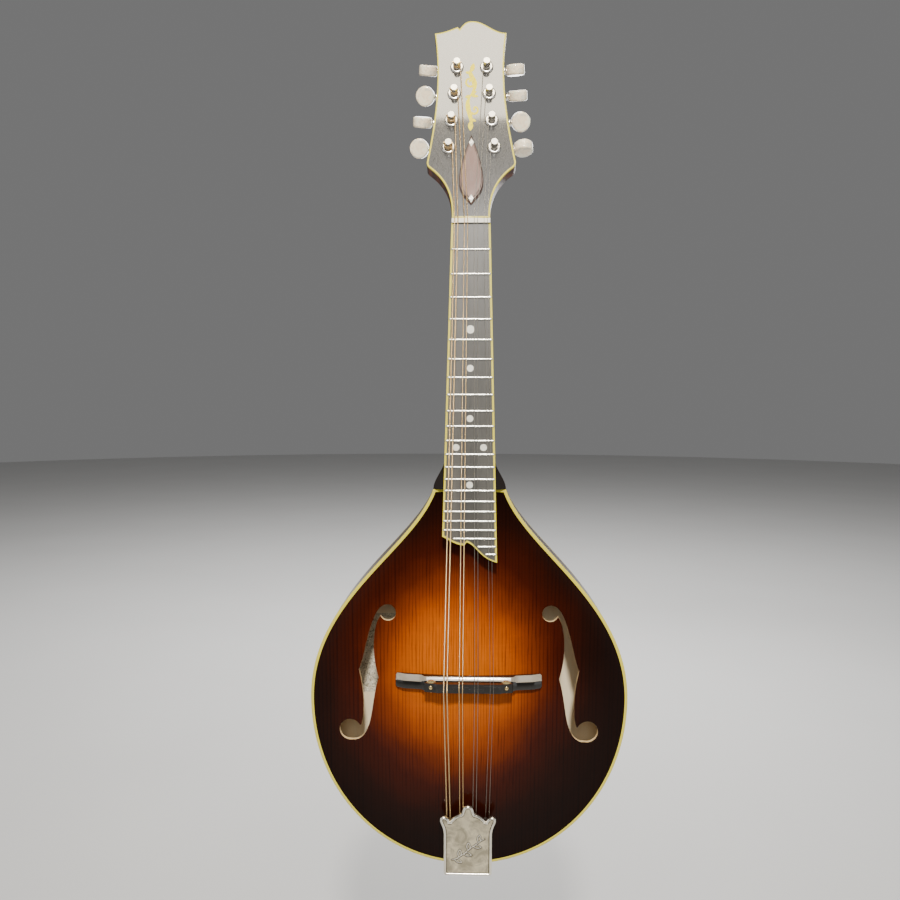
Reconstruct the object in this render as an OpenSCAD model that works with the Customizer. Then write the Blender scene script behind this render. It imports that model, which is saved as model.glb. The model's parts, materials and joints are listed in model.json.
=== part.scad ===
// A-style carved mandolin with f-holes, eight strings in four pairs, a two-piece adjustable
// bridge, worm-geared tuners and a metal tailpiece with a slide-on cover.
// Millimetres. +X is the treble side, +Z runs up the neck and +Y points to the back.
// The origin is in the middle of the neck where a hanger closes round it, at the nut.

/* [Strings] */
// Open string length from the nut to the bridge saddle
scale_len = 352.4; // [350:0.1:355]
// Number of frets
fret_count = 22; // [19:1:22]
// Spacing between the middles of neighbouring string pairs at the nut
course_gap_nut = 7.5; // [7:0.1:7.6]
// Spacing between the two strings of a pair
pair_gap = 2.5; // [2.2:0.1:2.6]

/* [Body] */
// Half of the body's greatest width
body_half = 128.5; // [124:0.5:132]
// Distance from the nut to the body's neck end
joint_z = 203.5; // [203:0.1:204]
// Distance from the nut to the tail end of the body
tail_z = 518; // [516:0.5:520]
// Thickness of the body from the front edge to the back edge
body_depth = 42; // [40:0.5:45]
// Rise of the carved top above its edge
top_rise = 11.5; // [11:0.1:12]
// Rise of the carved back above its edge
back_rise = 12; // [8:0.5:14]
// Thickness of both plates at their edge
lip = 4.5; // [4:0.1:5]
// Thickness of the bent side wood
rib_t = 2; // [1.8:0.1:2.5]
// Width of the edge binding seen from the front
binding_w = 2.4; // [1.4:0.1:2.6]

/* [Neck] */
// Angle of the fretboard to the body's edge
neck_angle = 5; // [4.9:0.05:5.1]
// Angle of the headstock to the fretboard
head_angle = 12; // [11:0.5:13]
// Thickness of the fretboard
board_t = 5.5; // [5:0.1:6]
// Half of the fretboard's width at the nut
nut_half = 14.9; // [14.6:0.1:15.2]
// Thickness of the wood of the headstock
head_t = 11; // [10.5:0.1:12]

/* [Tuners] */
// Distance between neighbouring string posts
post_pitch = 23.26; // [23:0.01:23.6]
// Number of teeth on each tuner gear
gear_teeth = 15; // [15:1:15]
// Length of a tuner button along its shaft
button_len = 15; // [12:0.5:16]
// Width across a tuner button
button_wide = 15; // [14:0.2:18]
// Thickness of a tuner button
button_thick = 8; // [6:0.2:9]

/* [Bridge] */
// Distance between the two height-adjusting studs
stud_gap = 59; // [57:0.5:61]
// Gap under the wheels that the saddle can be lowered through
bridge_travel = 2; // [1:0.5:2]

/* [Hidden] */
TUNERS = [1:8];
$fn = 48;
fit_gap = 0.05;         // radial play of a part that turns or slides on another
glue_gap = 0.1;         // space left under a part that follows a carved surface

// ---- Frames -------------------------------------------------------------------------------
edge_y = -15;           // the body's front edge lies this far in front of the origin
board_y = 6.8;          // playing surface at the nut, behind the body's front edge
head_y = 2;             // headstock face behind the playing surface, at the nut
head_z = 4.6;           // start of the headstock above the nut's front end

module in_body() translate([0, edge_y, 0]) children();
module on_board() translate([0, edge_y + board_y, 0]) rotate([-neck_angle, 0, 0]) children();
module on_head() on_board() translate([0, head_y, head_z]) rotate([-head_angle, 0, 0]) children();

function board_pt(p) = [p.x,
    edge_y + board_y + p.y * cos(neck_angle) + p.z * sin(neck_angle),
    -p.y * sin(neck_angle) + p.z * cos(neck_angle)];
function head_pt(p) = board_pt([p.x,
    head_y + p.y * cos(head_angle) + p.z * sin(head_angle),
    head_z - p.y * sin(head_angle) + p.z * cos(head_angle)]);

// ---- Curves and solids --------------------------------------------------------------------
function bez(c, t) = pow(1 - t, 3) * c[0] + 3 * pow(1 - t, 2) * t * c[1]
    + 3 * (1 - t) * t * t * c[2] + pow(t, 3) * c[3];
function curve(c, n) = [for (i = [0 : n - 1]) bez(c, i / n)];
function mirrored(p) = [for (i = [len(p) - 1 : -1 : 0]) [-p[i].x, p[i].y]];
function smooth(t) = let (u = min(1, max(0, t))) u * u * (3 - 2 * u);
function unit(v) = v / norm(v);
function left_of(v) = [-v.y, v.x];
// A closed outline, listed anticlockwise, moved inwards by d
function inset(p, d) = [for (i = [0 : len(p) - 1])
    let (a = p[(i + len(p) - 1) % len(p)], b = p[i], c = p[(i + 1) % len(p)],
         m = left_of(unit(b - a)) + left_of(unit(c - b)))
    b + m * 2 * d / (m * m)];

// Extrudes an outline drawn in X and Z from y0 back to y1
module slab(y0, y1) translate([0, y1, 0]) rotate([90, 0, 0]) linear_extrude(y1 - y0) children();
// Extrudes a profile drawn in Y and Z from x0 to x1
module bar(x0, x1) translate([x0, 0, 0]) rotate([90, 0, 90]) linear_extrude(x1 - x0) children();
// A round rod along Y, from y0 back to y1
module peg(x, z, r, y0, y1) translate([x, y0, z]) rotate([-90, 0, 0]) cylinder(h = y1 - y0, r = r);
// A round rod along X, from x0 to x1
module rod_x(x0, x1, r) translate([x0, 0, 0]) rotate([0, 90, 0]) cylinder(h = x1 - x0, r = r);

// A closed skin over a row of outlines with the same number of points, which run
// anticlockwise seen from the first outline's side
module loft(rows) {
    n = len(rows[0]);
    last = (len(rows) - 1) * n;
    polyhedron([for (r = rows) each r], concat(
        [[for (i = [n - 1 : -1 : 0]) i]],
        [for (k = [0 : len(rows) - 2]) for (i = [0 : n - 1]) let (j = (i + 1) % n)
            each [[k * n + i, (k + 1) * n + j, (k + 1) * n + i], [k * n + i, k * n + j, (k + 1) * n + j]]],
        [[for (i = [0 : n - 1]) last + i]]));
}

// ---- Body outline and arching -------------------------------------------------------------
corner_half = 28.5;     // half of the body's width at the neck
waist_z = 376.4;        // distance from the nut to the widest place
rim = let (half = concat(
        curve([[corner_half, -joint_z], [44.7, -251.7], [body_half, -292.2], [body_half, -waist_z]], 18),
        curve([[body_half, -waist_z], [body_half, -456.8], [70.9, -tail_z], [0, -tail_z]], 14)))
    concat([for (p = half) [-p.x, p.y]], [[0, -tail_z]], [for (i = [len(half) - 1 : -1 : 0]) half[i]]);
crown = [0, -372];      // highest place of both plates
edge_share = 0.93;      // share of the way out where the flat edge begins
recurve = 0.6;          // depth of the shallow channel inside the edge
rings = [0.14, 0.28, 0.41, 0.53, 0.64, 0.74, 0.82, 0.88, 0.93, 0.965];

// How far out a place is: 0 at the crown and 1 on the outline
function share(p, edge) = let (q = p - crown)
    max([for (i = [0 : len(edge) - 1]) let (a = edge[i] - crown, b = edge[(i + 1) % len(edge)] - crown)
        (cross(a, q) >= 0 && cross(q, b) >= 0) ? cross(q, b - a) / cross(a, b - a) : 0]);
function arch(s, rise) = s < edge_share
    ? -recurve + (rise + recurve) * (0.5 + 0.5 * cos(180 * s / edge_share))
    : -recurve * cos(90 * (s - edge_share) / (1 - edge_share));
function thick(s) = 4.2 - 0.9 * smooth(s);
function inner(s, rise) = s < edge_share - 0.01 ? thick(s) - arch(s, rise) : lip;
function top_y(p) = -arch(share(p, inset(rim, binding_w)), top_rise);
function under_top_y(p) = inner(share(p, inset(rim, binding_w)), top_rise);

// A carved plate, its edge plane at y = 0 and its crown towards -Y
module carved(edge, rise) {
    n = len(edge);
    k = len(rings);
    function ring(s, y) = [for (p = edge) let (q = crown + s * (p - crown)) [q.x, y, q.y]];
    outer = concat([for (s = rings) each ring(s, -arch(s, rise))], ring(1, 0));
    under = concat([for (s = rings) each ring(s, inner(s, rise))], ring(1, lip));
    m = len(outer);
    function skin(base, flip) = [for (r = [0 : k - 1]) for (i = [0 : n - 1])
        let (j = (i + 1) % n, a = base + r * n + i, b = base + r * n + j, c = a + n, d = b + n)
        each flip ? [[a, c, d], [a, d, b]] : [[a, d, c], [a, b, d]]];
    polyhedron(concat(outer, under, [[0, -arch(0, rise), crown.y], [0, inner(0, rise), crown.y]]), concat(
        skin(0, false), skin(m, true),
        [for (i = [0 : n - 1]) [2 * m, (i + 1) % n, i]],
        [for (i = [0 : n - 1]) [2 * m + 1, m + i, m + (i + 1) % n]],
        [for (i = [0 : n - 1]) let (j = (i + 1) % n, a = m - n + i, b = m - n + j)
            each [[a, b, b + m], [a, b + m, a + m]]]));
}

// ---- F-holes ------------------------------------------------------------------------------
eye_upper = [-65.1, -303.5];
eye_upper_r = 6.6;
eye_lower = [-96.4, -401.9];
eye_lower_r = 8.9;
f_stem = concat(
    curve([[-65.6, -297], [-74.5, -296.8], [-79, -313.5], [-83.6, -332.5]], 8),
    curve([[-83.6, -332.5], [-85.3, -340.5], [-87, -346.5], [-88.9, -350.8]], 3),
    curve([[-88.9, -350.8], [-86, -362.5], [-85, -374.5], [-85.4, -382.5]], 4),
    curve([[-85.4, -382.5], [-85.5, -389.5], [-86.3, -394.5], [-88, -399]], 3),
    [[-96.4, -401.9], [-95.6, -410.7]],
    curve([[-92, -410.5], [-84, -408.5], [-80.4, -398.5], [-78.2, -384.3]], 7),
    curve([[-78.2, -384.3], [-76.5, -373.5], [-75, -363.5], [-72.6, -356.7]], 4),
    curve([[-72.6, -356.7], [-75.5, -347.5], [-76.6, -339.5], [-76.5, -330.5]], 4),
    curve([[-76.5, -330.5], [-76.4, -318.5], [-74.8, -311.5], [-70.6, -305.3]], 5),
    [[-70.6, -305.3], [-65.1, -303.5]]);

module f_hole() {
    cut = [-top_rise - 3, lip + 6];
    slab(cut[0], cut[1]) polygon(f_stem);
    peg(eye_upper.x, eye_upper.y, eye_upper_r, cut[0], cut[1]);
    peg(eye_lower.x, eye_lower.y, eye_lower_r, cut[0], cut[1]);
}

// ---- Body ---------------------------------------------------------------------------------
module soundboard() color("peru") in_body() difference() {
    carved(inset(rim, binding_w), top_rise);
    f_hole();
    mirror([1, 0, 0]) f_hole();
}

module back_plate() color("saddlebrown") in_body() translate([0, body_depth, 0]) mirror([0, 1, 0])
    carved(inset(rim, binding_w), back_rise);

module edge_ring(y0, y1) in_body() difference() {
    slab(y0, y1) polygon(rim);
    slab(y0 - 1, y1 + 1) polygon(inset(rim, binding_w));
}
module top_binding() color("ivory") edge_ring(0, lip);
module back_binding() color("ivory") edge_ring(body_depth - lip, body_depth);

pin_y = 20;             // strap button axis behind the body's front edge
pin_r = 4;              // strap button shank
tenon_half = 11;
tenon_len = 16;
mortise = [8, 34];      // front and back of the neck tenon

// One bent side: a strip along the outline that returns across the neck end to the tenon
module rib() in_body() difference() {
    slab(lip, body_depth - lip) difference() {
        polygon(rim);
        polygon(inset(rim, rib_t));
        translate([-300, -600]) square([300, 600]);
    }
    translate([-1, lip - 1, -joint_z - 5]) cube([tenon_half + 1, body_depth - 2 * lip + 2, 10]);
    translate([0, pin_y, -tail_z - 5]) cylinder(h = 10, r = pin_r + fit_gap);
}
module rib_treble() color("saddlebrown") rib();
module rib_bass() color("saddlebrown") mirror([1, 0, 0]) rib();

module neck_block() color("burlywood") in_body() difference() {
    slab(lip, body_depth - lip) polygon([[-26, -joint_z - rib_t], [26, -joint_z - rib_t],
        [26, -joint_z - 34], [20, -joint_z - 40], [-20, -joint_z - 40], [-26, -joint_z - 34]]);
    translate([-tenon_half, mortise[0], -joint_z - tenon_len])
        cube([2 * tenon_half, mortise[1] - mortise[0], tenon_len + 1]);
}

module tail_block() color("burlywood") in_body() difference() {
    slab(lip, body_depth - lip) intersection() {
        polygon(inset(rim, rib_t));
        translate([-30, -tail_z]) square([60, 22]);
    }
    translate([0, pin_y, -tail_z - 1]) cylinder(h = 30, r = pin_r + fit_gap);
}

lining_w = 5;
lining_h = 8;
module lining_pair(y0) slab(y0, y0 + lining_h) difference() {
    polygon(inset(rim, rib_t));
    polygon(inset(rim, rib_t + lining_w));
    translate([-27, -joint_z - 60]) square([54, 70]);
    translate([-31, -tail_z - 5]) square([62, 60]);
}
module kerfed_linings() color("burlywood") in_body() {
    lining_pair(lip);
    lining_pair(body_depth - lip - lining_h);
}

// A brace under the top, from one end to the other, deepest in the middle
module tone_bar(a, b) loft([for (i = [0 : 8]) let (c = a + (b - a) * i / 8, w = 3, d = 3 + 8 * sin(22.5 * i))
    [for (e = [[-w, 0], [w, 0], [w * 0.7, d], [-w * 0.7, d]])
        [c.x + e.x, under_top_y([c.x + e.x, c.y]) + glue_gap + e.y, c.y]]]);
module tone_bars() color("wheat") in_body() {
    tone_bar([24, -290], [34, -440]);
    tone_bar([-24, -290], [-40, -440]);
}

// ---- Neck and headstock -------------------------------------------------------------------
heel_cap_t = 2;
rod_y = 13;             // truss rod axis behind the playing surface
rod_r = 2.4;
nut_t = 3.4;            // thickness of the string nut along the neck

function board_half(s) = nut_half + 0.0257 * s;
function board_under(z) = board_y + z * tan(neck_angle) + board_t / cos(neck_angle);

// Outline across the neck at height z: flat under the fretboard, rounded behind
function neck_row(z) = let (
        flare = smooth((-180 - z) / (joint_z - 180)),
        half = board_half(-z),
        wide = half + (corner_half - half) * flare,
        y0 = board_under(z),
        y1 = (y0 + 1.5) * (1 - flare) + 0.2 * flare,
        heel = smooth((-150 - z) / (joint_z - 148)),
        deep = 14.5 + 2.5 * min(1, -z / 150) + 33 * pow(heel, 1.5))
    concat([[-half, y0, z], [half, y0, z]],
        [for (a = [0 : 12 : 180]) [wide * cos(a), min(y1 + deep * sin(a), body_depth - heel_cap_t), z]]);

// The same outline in the headstock, shrinking into it: the swell behind the nut
function head_row(h, half, y0, y1) = [for (p = concat([[-half, y0], [half, y0]],
        [for (a = [0 : 12 : 180]) [half * cos(a), y0 + 1 + (y1 - y0 - 1) * sin(a)]])) head_pt([p.x, p.y, h])];

// Headstock outline, anticlockwise from the nut; both sides share their lower part
head_low = concat(
    curve([[14.6, 0], [14.3, 18], [19, 31], [32, 41.5]], 9),
    curve([[32, 41.5], [34.6, 43.5], [34.9, 45.5], [34.2, 48.5]], 3));
head_outline = concat(head_low,
    curve([[34.2, 48.5], [28, 82], [22.3, 118], [27.6, 158.8]], 12),
    curve([[27.6, 158.8], [16, 159.2], [11, 169.6], [0, 169.6]], 9),
    curve([[0, 169.6], [-5.5, 169.6], [-7.5, 165.9], [-9.8, 162.7]], 5),
    [[-9.8, 162.7]],
    curve([[-11.5, 164.5], [-17, 162.2], [-22, 159.4], [-29.6, 158.8]], 5),
    curve([[-29.6, 158.8], [-24, 118], [-28.4, 82], [-34.2, 48.5]], 12),
    [[-34.2, 48.5]], mirrored(head_low));

veneer_t = 1.6;
head_back = veneer_t + head_t;
head_edge = 1.3;        // width of the headstock binding
barrel_r = 4.1;         // string post bushing inside the headstock
pocket = [[-4.2, 19], [8.4, 20]];   // truss rod pocket: corner and size, in X and Z

post_tilt = 5;          // each row of posts leans towards the middle going up
function post_at(i) = [17.8 - post_pitch * sin(post_tilt) * i, 58.7 + post_pitch * cos(post_tilt) * i];
function side(n) = n <= 4 ? -1 : 1;
function step(n) = (n - 1) % 4;
module at_tuner(n) on_head() translate([side(n) * post_at(step(n)).x, 0, post_at(step(n)).y])
    rotate([0, -side(n) * post_tilt, 0]) children();
module post_holes(r, y0, y1) for (n = TUNERS) at_tuner(n) peg(0, 0, r, y0, y1);

module neck() color("sienna") {
    difference() {
        union() {
            loft(concat(
                [head_row(38, 9, 5, 10.5), head_row(30, 11, 4.5, 12), head_row(22, 12.5, 4.2, 13.6),
                 head_row(14, 13.6, 4, 15.8), head_row(7, 14.2, 4, 17.8)],
                [for (z = [3.2, 0, -25, -50, -75, -100, -125, -145, -155, -163, -170, -176, -181,
                    -186, -190, -194, -198, -201, -joint_z]) [for (p = neck_row(z)) p + [0, edge_y, 0]]]));
            on_head() slab(veneer_t, head_back) polygon(head_outline);
            in_body() translate([-tenon_half + 0.1, mortise[0] + 0.1, -joint_z - tenon_len + 0.2])
                cube([2 * tenon_half - 0.2, mortise[1] - mortise[0] - 0.2, tenon_len + 2]);
        }
        post_holes(barrel_r + fit_gap, -5, head_back + 5);
        on_head() translate([pocket[0].x, 0, pocket[0].y]) cube([pocket[1].x, 11.2, pocket[1].y]);
        on_board() translate([0, rod_y, -190]) cylinder(h = 225, r = rod_r + 0.2);
    }
    // the riser glued on under the end of the fretboard
    in_body() bar(-18, 18) polygon([[board_under(-203.6), -203.6], [board_under(-238), -238],
        [-1.4, -231], [-1.4, -203.6]]);
}

module heel_cap() color("black") in_body() slab(body_depth - heel_cap_t, body_depth)
    polygon(concat(curve([[13.5, -joint_z], [12.5, -197], [7, -190.5], [0, -190.5]], 6),
        curve([[0, -190.5], [-7, -190.5], [-12.5, -197], [-13.5, -joint_z]], 6),
        [[-13.5, -joint_z]]));

module truss_rod() color("dimgray") on_board() {
    translate([0, rod_y, -188]) cylinder(h = 205, r = rod_r);
    translate([0, rod_y, 17]) cylinder(h = 12.6, r = 1.5);
}

// The nut sits in its pocket and pulls against the wood below it
module truss_rod_nut() color("gold") on_board() translate([0, rod_y, 22.8]) difference() {
    cylinder(h = 6, r = 3.1, $fn = 6);
    translate([0, 0, -1]) cylinder(h = 9, r = 1.5 + fit_gap);
}

cover_ends = [10.6, 68.6];
cover_half = concat(
    curve([[0, 10.6], [4.5, 16], [9.4, 20], [9.4, 29.5]], 8),
    curve([[9.4, 29.5], [9.4, 41], [5, 55], [0, 68.6]], 8));
module truss_rod_cover() color("sienna") on_head() difference() {
    slab(-veneer_t, 0) polygon(concat(cover_half, [[0, 68.6]], [for (i = [len(cover_half) - 1 : -1 : 1])
        [-cover_half[i].x, cover_half[i].y]]));
    for (z = [cover_ends[0] + 4.5, cover_ends[1] - 6.5]) peg(0, z, 0.9, -5, 5);
}

module headstock_veneer() color("black") on_head() difference() {
    slab(0, veneer_t) polygon(inset(head_outline, head_edge));
    for (n = TUNERS) translate([side(n) * post_at(step(n)).x, 0, post_at(step(n)).y])
        peg(0, 0, barrel_r + fit_gap, -1, 3);
    translate([pocket[0].x, -1, pocket[0].y]) cube([pocket[1].x, 4, pocket[1].y]);
    inlay(fit_gap, 4);
}
module headstock_binding() color("ivory") on_head() difference() {
    slab(0, veneer_t) polygon(head_outline);
    slab(-1, 3) polygon(inset(head_outline, head_edge));
    translate([-13, -1, -1]) cube([26, 4, 2.6]);
}

// A leafy scroll of mother of pearl: stacked leaves, each a lens between two arcs
module leaf(x, z, long, turn, grow) translate([x, 0, z]) rotate([0, turn, 0])
    slab(0, 1) polygon(concat(
        curve([[0, -long / 2 - grow], [long * 0.32 + grow, -long * 0.1], [long * 0.22 + grow, long * 0.3],
            [0, long / 2 + grow]], 6),
        curve([[0, long / 2 + grow], [-long * 0.08 - grow, long * 0.3], [-long * 0.1 - grow, -long * 0.2],
            [0, -long / 2 - grow]], 6)));
module inlay(grow, deep) scale([1, deep, 1]) for (s = [-1, 1]) {
    leaf(1.2 * s, 94 + 20 * s, 17, 12 * s, grow);
    leaf(-2.6 * s, 94 + 9 * s, 10, -42 * s, grow);
    leaf(3.4 * s, 94 + 31 * s, 7, 40 * s, grow);
}
module headstock_inlay() color("whitesmoke") on_head() inlay(0, 1);

string_r = [0.51, 0.33, 0.19, 0.14];
// Course 0 is the lowest pair, on the bass side; string 0 or 1 in each pair
function nut_x(c, k) = (c - 1.5) * course_gap_nut + (k - 0.5) * pair_gap;
saddle_course = 12.05;
saddle_pair = 2.6;
function saddle_x(c, k) = (c - 1.5) * saddle_course + (k - 0.5) * saddle_pair;
function tail_x(c, k) = (c - 1.5) * 10.4 + (k - 0.5) * 2.8;
string_lift = 1.3;      // clear height of every string above the playing surface at the nut
nut_front = 1.7;        // front of the nut above the playing surface
// A slot for one string across the nut, open to the front
module nut_slot(x, r) translate([x, -string_lift - r, -1]) {
    cylinder(h = nut_t + 2, r = r + fit_gap);
    translate([-r - fit_gap, -2, 0]) cube([2 * (r + fit_gap), 2, nut_t + 2]);
}

module nut() color("ivory") on_board() difference() {
    translate([-nut_half + 0.3, -nut_front, 0.02])
        cube([2 * nut_half - 0.6, board_t + nut_front, nut_t - 0.04]);
    for (c = [0 : 3]) for (k = [0, 1]) nut_slot(nut_x(c, k), string_r[c]);
}

// ---- Fretboard ----------------------------------------------------------------------------
board_edge_w = 1.5;
board_bass = 239.9;     // length on the bass side
board_treble = 260;     // length on the treble side
// The foot of the board steps down towards the treble side with a small point in the middle
function board_outline(d) = concat(
    [[-nut_half + d, 0], [-board_half(board_bass) + d, -board_bass + d * 0.6]],
    curve([[-board_half(board_bass) + d, -board_bass + d * 0.6], [-15, -243 + d], [-10, -246.6 + d],
        [-4, -246.8 + d]], 6),
    curve([[-4, -246.8 + d], [-3.2, -245.8 + d], [-2.6, -244.6 + d], [-1.9, -244.2 + d]], 2),
    curve([[-1.9, -244.2 + d], [6, -247 + d], [8, -256.8 + d], [board_half(board_treble) - d, -board_treble + d]], 9),
    [[board_half(board_treble) - d, -board_treble + d], [nut_half - d, 0]]);
function fret_z(n) = -scale_len * (1 - pow(2, -n / 12));
tang = [0.5, 1.6];      // thickness and depth of a fret's tang

// Left end of a fret, which is shortened where the board's foot cuts across it
function fret_left(n) = n < 20 ? -board_half(-fret_z(n)) + 0.3
    : n == 20 ? -13 : n == 21 ? 6 : 12;

module fret_tangs(grow) for (n = [1 : fret_count])
    translate([max(fret_left(n) + 1.6, -board_half(-fret_z(n)) + board_edge_w + 0.2), 0, fret_z(n) - tang[0] / 2])
        cube([board_half(-fret_z(n)) - board_edge_w - 0.2
            - max(fret_left(n) + 1.6, -board_half(-fret_z(n)) + board_edge_w + 0.2), tang[1] + grow, tang[0]]);

module fretboard() color("black") on_board() difference() {
    slab(0, board_t) polygon(board_outline(board_edge_w));
    fret_tangs(0.02);
    dots(0.02);
}
module fretboard_binding() color("ivory") on_board() difference() {
    slab(0, board_t) polygon(board_outline(0));
    slab(-1, board_t + 1) polygon(concat([[-nut_half + board_edge_w, 1]], board_outline(board_edge_w),
        [[nut_half - board_edge_w, 1]]));
}

fret_w = 1.7;
fret_h = 1;
module frets() color("silver") on_board() {
    for (n = [1 : fret_count]) translate([0, 0, fret_z(n)])
        bar(fret_left(n), board_half(-fret_z(n)) - 0.3) polygon([[0, -fret_w / 2], [0, fret_w / 2],
            [-fret_h * 0.55, fret_w * 0.42], [-fret_h * 0.92, fret_w * 0.2], [-fret_h, 0],
            [-fret_h * 0.92, -fret_w * 0.2], [-fret_h * 0.55, -fret_w * 0.42]]);
    fret_tangs(0);
}

dot_frets = [[5, 0, 3.1], [7, 0, 2.6], [10, 0, 2.6], [12, -10.6, 2.6], [12, 10.6, 2.6], [15, 0, 2.6]];
module dots(grow) for (d = dot_frets)
    peg(d[1], (fret_z(d[0]) + fret_z(d[0] - 1)) / 2, d[2] + grow, 0, 1.5 + grow);
module position_dots() color("whitesmoke") on_board() dots(0);

// ---- Bridge -------------------------------------------------------------------------------
bridge_z = -357;        // middle of the bridge
bridge_half = 58.5;
base_deep = 5.6;        // half of the base's size along the strings
base_top = -16.2;       // flat top of the base, in front of the body's front edge
wheel_y = base_top - 0.7 - bridge_travel;   // back face of both wheels
wheel_t = 2.3;
wheel_r = 5;
stud_r = 1.5;
saddle_y = wheel_y - wheel_t - fit_gap;     // back face of the saddle
saddle_top = -27.3;
saddle_half = 34.6;

function base_front(x) = abs(x) < 36.5 ? base_top
    : top_y([x, bridge_z]) - 5.4 * (1 - 0.35 * smooth((abs(x) - 50) / 8));
module bridge_base() color("black") in_body() difference() {
    loft([for (x = [-bridge_half, -57, -53, -48, -42, -37.5, -36.2, -30, -22, -14, -7, 0,
            7, 14, 22, 30, 36.2, 37.5, 42, 48, 53, 57, bridge_half])
        let (w = base_deep - 1.1 * pow(max(0, (abs(x) - bridge_half) / 2.5 + 1), 2))
        [[x, top_y([x, bridge_z - w]) - glue_gap, bridge_z - w], [x, base_front(x), bridge_z - w],
         [x, base_front(x), bridge_z + w], [x, top_y([x, bridge_z + w]) - glue_gap, bridge_z + w]]]);
    for (s = [-1, 1]) peg(s * stud_gap / 2, bridge_z, stud_r, base_top - 1, base_top + 4);
}

module bridge_studs() color("goldenrod") in_body() for (s = [-1, 1])
    peg(s * stud_gap / 2, bridge_z, stud_r, saddle_y - 3.2, base_top + 4);

// Knurled wheel on a stud: notches around the rim leave grips between them
module bridge_wheel(s) color("goldenrod") in_body() difference() {
    peg(s * stud_gap / 2, bridge_z, wheel_r, wheel_y - wheel_t, wheel_y);
    peg(s * stud_gap / 2, bridge_z, stud_r + fit_gap, wheel_y - 5, wheel_y + 5);
    for (a = [0 : 20 : 340]) translate([s * stud_gap / 2, 0, bridge_z]) rotate([0, a, 0])
        peg(wheel_r + 0.35, 0, 0.65, wheel_y - 5, wheel_y + 5);
}
module bridge_wheel_bass() bridge_wheel(-1);
module bridge_wheel_treble() bridge_wheel(1);

// Where each pair breaks over the saddle, along the strings from the bridge's middle
crest_z = [-1.6, 0.4, -1.2, 1];
crest_edges = [-22.5, -12.05, 0, 12.05, 22.5];
saddle_deep = 3.6;
module bridge_saddle() color("black") in_body() difference() {
    translate([0, 0, bridge_z - saddle_deep]) linear_extrude(2 * saddle_deep)
        polygon(concat([[-saddle_half, saddle_y - 1.8], [-saddle_half + 1.2, saddle_y], [saddle_half - 1.2, saddle_y],
            [saddle_half, saddle_y - 1.8]],
            curve([[saddle_half - 0.6, saddle_y - 2.6], [30, saddle_y - 3.2], [26.5, saddle_y - 2.6], [23.5, saddle_top]], 6),
            [[23.5, saddle_top]],
            curve([[-23.5, saddle_top], [-26.5, saddle_y - 2.6], [-30, saddle_y - 3.2], [-saddle_half + 0.6, saddle_y - 2.6]], 6)));
    for (c = [0 : 3]) for (s = [-1, 1])
        translate([crest_edges[c] - (c == 0 ? 3 : 0), saddle_top - 1, bridge_z + crest_z[c] + s * (1.2 + 5) - 5])
            cube([crest_edges[c + 1] - crest_edges[c] + (c == 0 || c == 3 ? 3 : 0), 2.2, 10]);
    for (s = [-1, 1]) peg(s * stud_gap / 2, bridge_z, stud_r + fit_gap, saddle_y - 5, saddle_y + 1);
    for (c = [0 : 3]) for (k = [0, 1]) translate([saddle_x(c, k), saddle_top - 0.1, bridge_z - 8])
        cylinder(h = 16, r = string_r[c] + fit_gap);
}

// ---- Tailpiece and strap button -----------------------------------------------------------
cover_y = -13;          // front of the tailpiece cover
cover_t = 1.2;
cover_end = tail_z + 2.8;
tail_half = concat(
    [[19.6, -cover_end + 1.5]],
    curve([[19.6, -486], [19.6, -479], [22.6, -477], [22.8, -473.2]], 5),
    curve([[22.8, -473.2], [22.8, -469.2], [17.2, -468.8], [14.6, -474.2]], 5),
    curve([[14.6, -474.2], [11.4, -470.4], [9, -468.4], [5.4, -467.8]], 4),
    curve([[5.4, -467.8], [4.4, -465.2], [4.6, -461.4], [0, -460.6]], 5));
tail_outline = concat([[18.4, -cover_end]], tail_half, [[0, -460.6]], mirrored(tail_half), [[-18.4, -cover_end]]);
tail_band = 1.8;        // width of the raised border

module tailpiece_cover() color("silver") in_body() difference() {
    slab(cover_y, -1.2) polygon(tail_outline);
    // hollow under the front, open to the body
    slab(cover_y + cover_t, 0) polygon(inset(tail_outline, cover_t));
    // strings pass under a short lip at the neck end
    translate([-30, cover_y + 3.4, -483]) cube([60, 20, 40]);
    // sunk panel inside the raised border
    slab(cover_y - 1, cover_y + 0.5) polygon(inset(tail_outline, tail_band));
}

plate_y = -4.2;         // front of the plate that the strings hook on to
plate_half = 17;
hook_z = -486;
module tailpiece_plate() color("silver") in_body() {
    difference() {
        union() {
            translate([-plate_half, plate_y, -tail_z - 1.3]) cube([2 * plate_half, 1.4, 40]);
            translate([-12, plate_y, -tail_z - 1.3]) cube([24, pin_y + 12, 1.2]);
        }
        translate([0, pin_y, -tail_z - 5]) cylinder(h = 10, r = pin_r + 0.1);
        for (s = [-1, 1]) translate([s * 8, pin_y - 12, -tail_z - 5]) cylinder(h = 10, r = 1.3);
    }
    for (c = [0 : 3]) for (k = [0, 1]) peg(tail_x(c, k), hook_z - 2.2, 0.9, plate_y - 3, plate_y);
}

button_r = 6.5;
module strap_button() color("whitesmoke") in_body() translate([0, pin_y, 0]) {
    translate([0, 0, -tail_z - 1.35]) cylinder(h = 21, r = pin_r);
    translate([0, 0, -tail_z - 7.5]) cylinder(h = 6.2, r1 = 4.6, r2 = 4.4);
    translate([0, 0, -tail_z - 10.5]) cylinder(h = 3, r = button_r);
}

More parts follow.
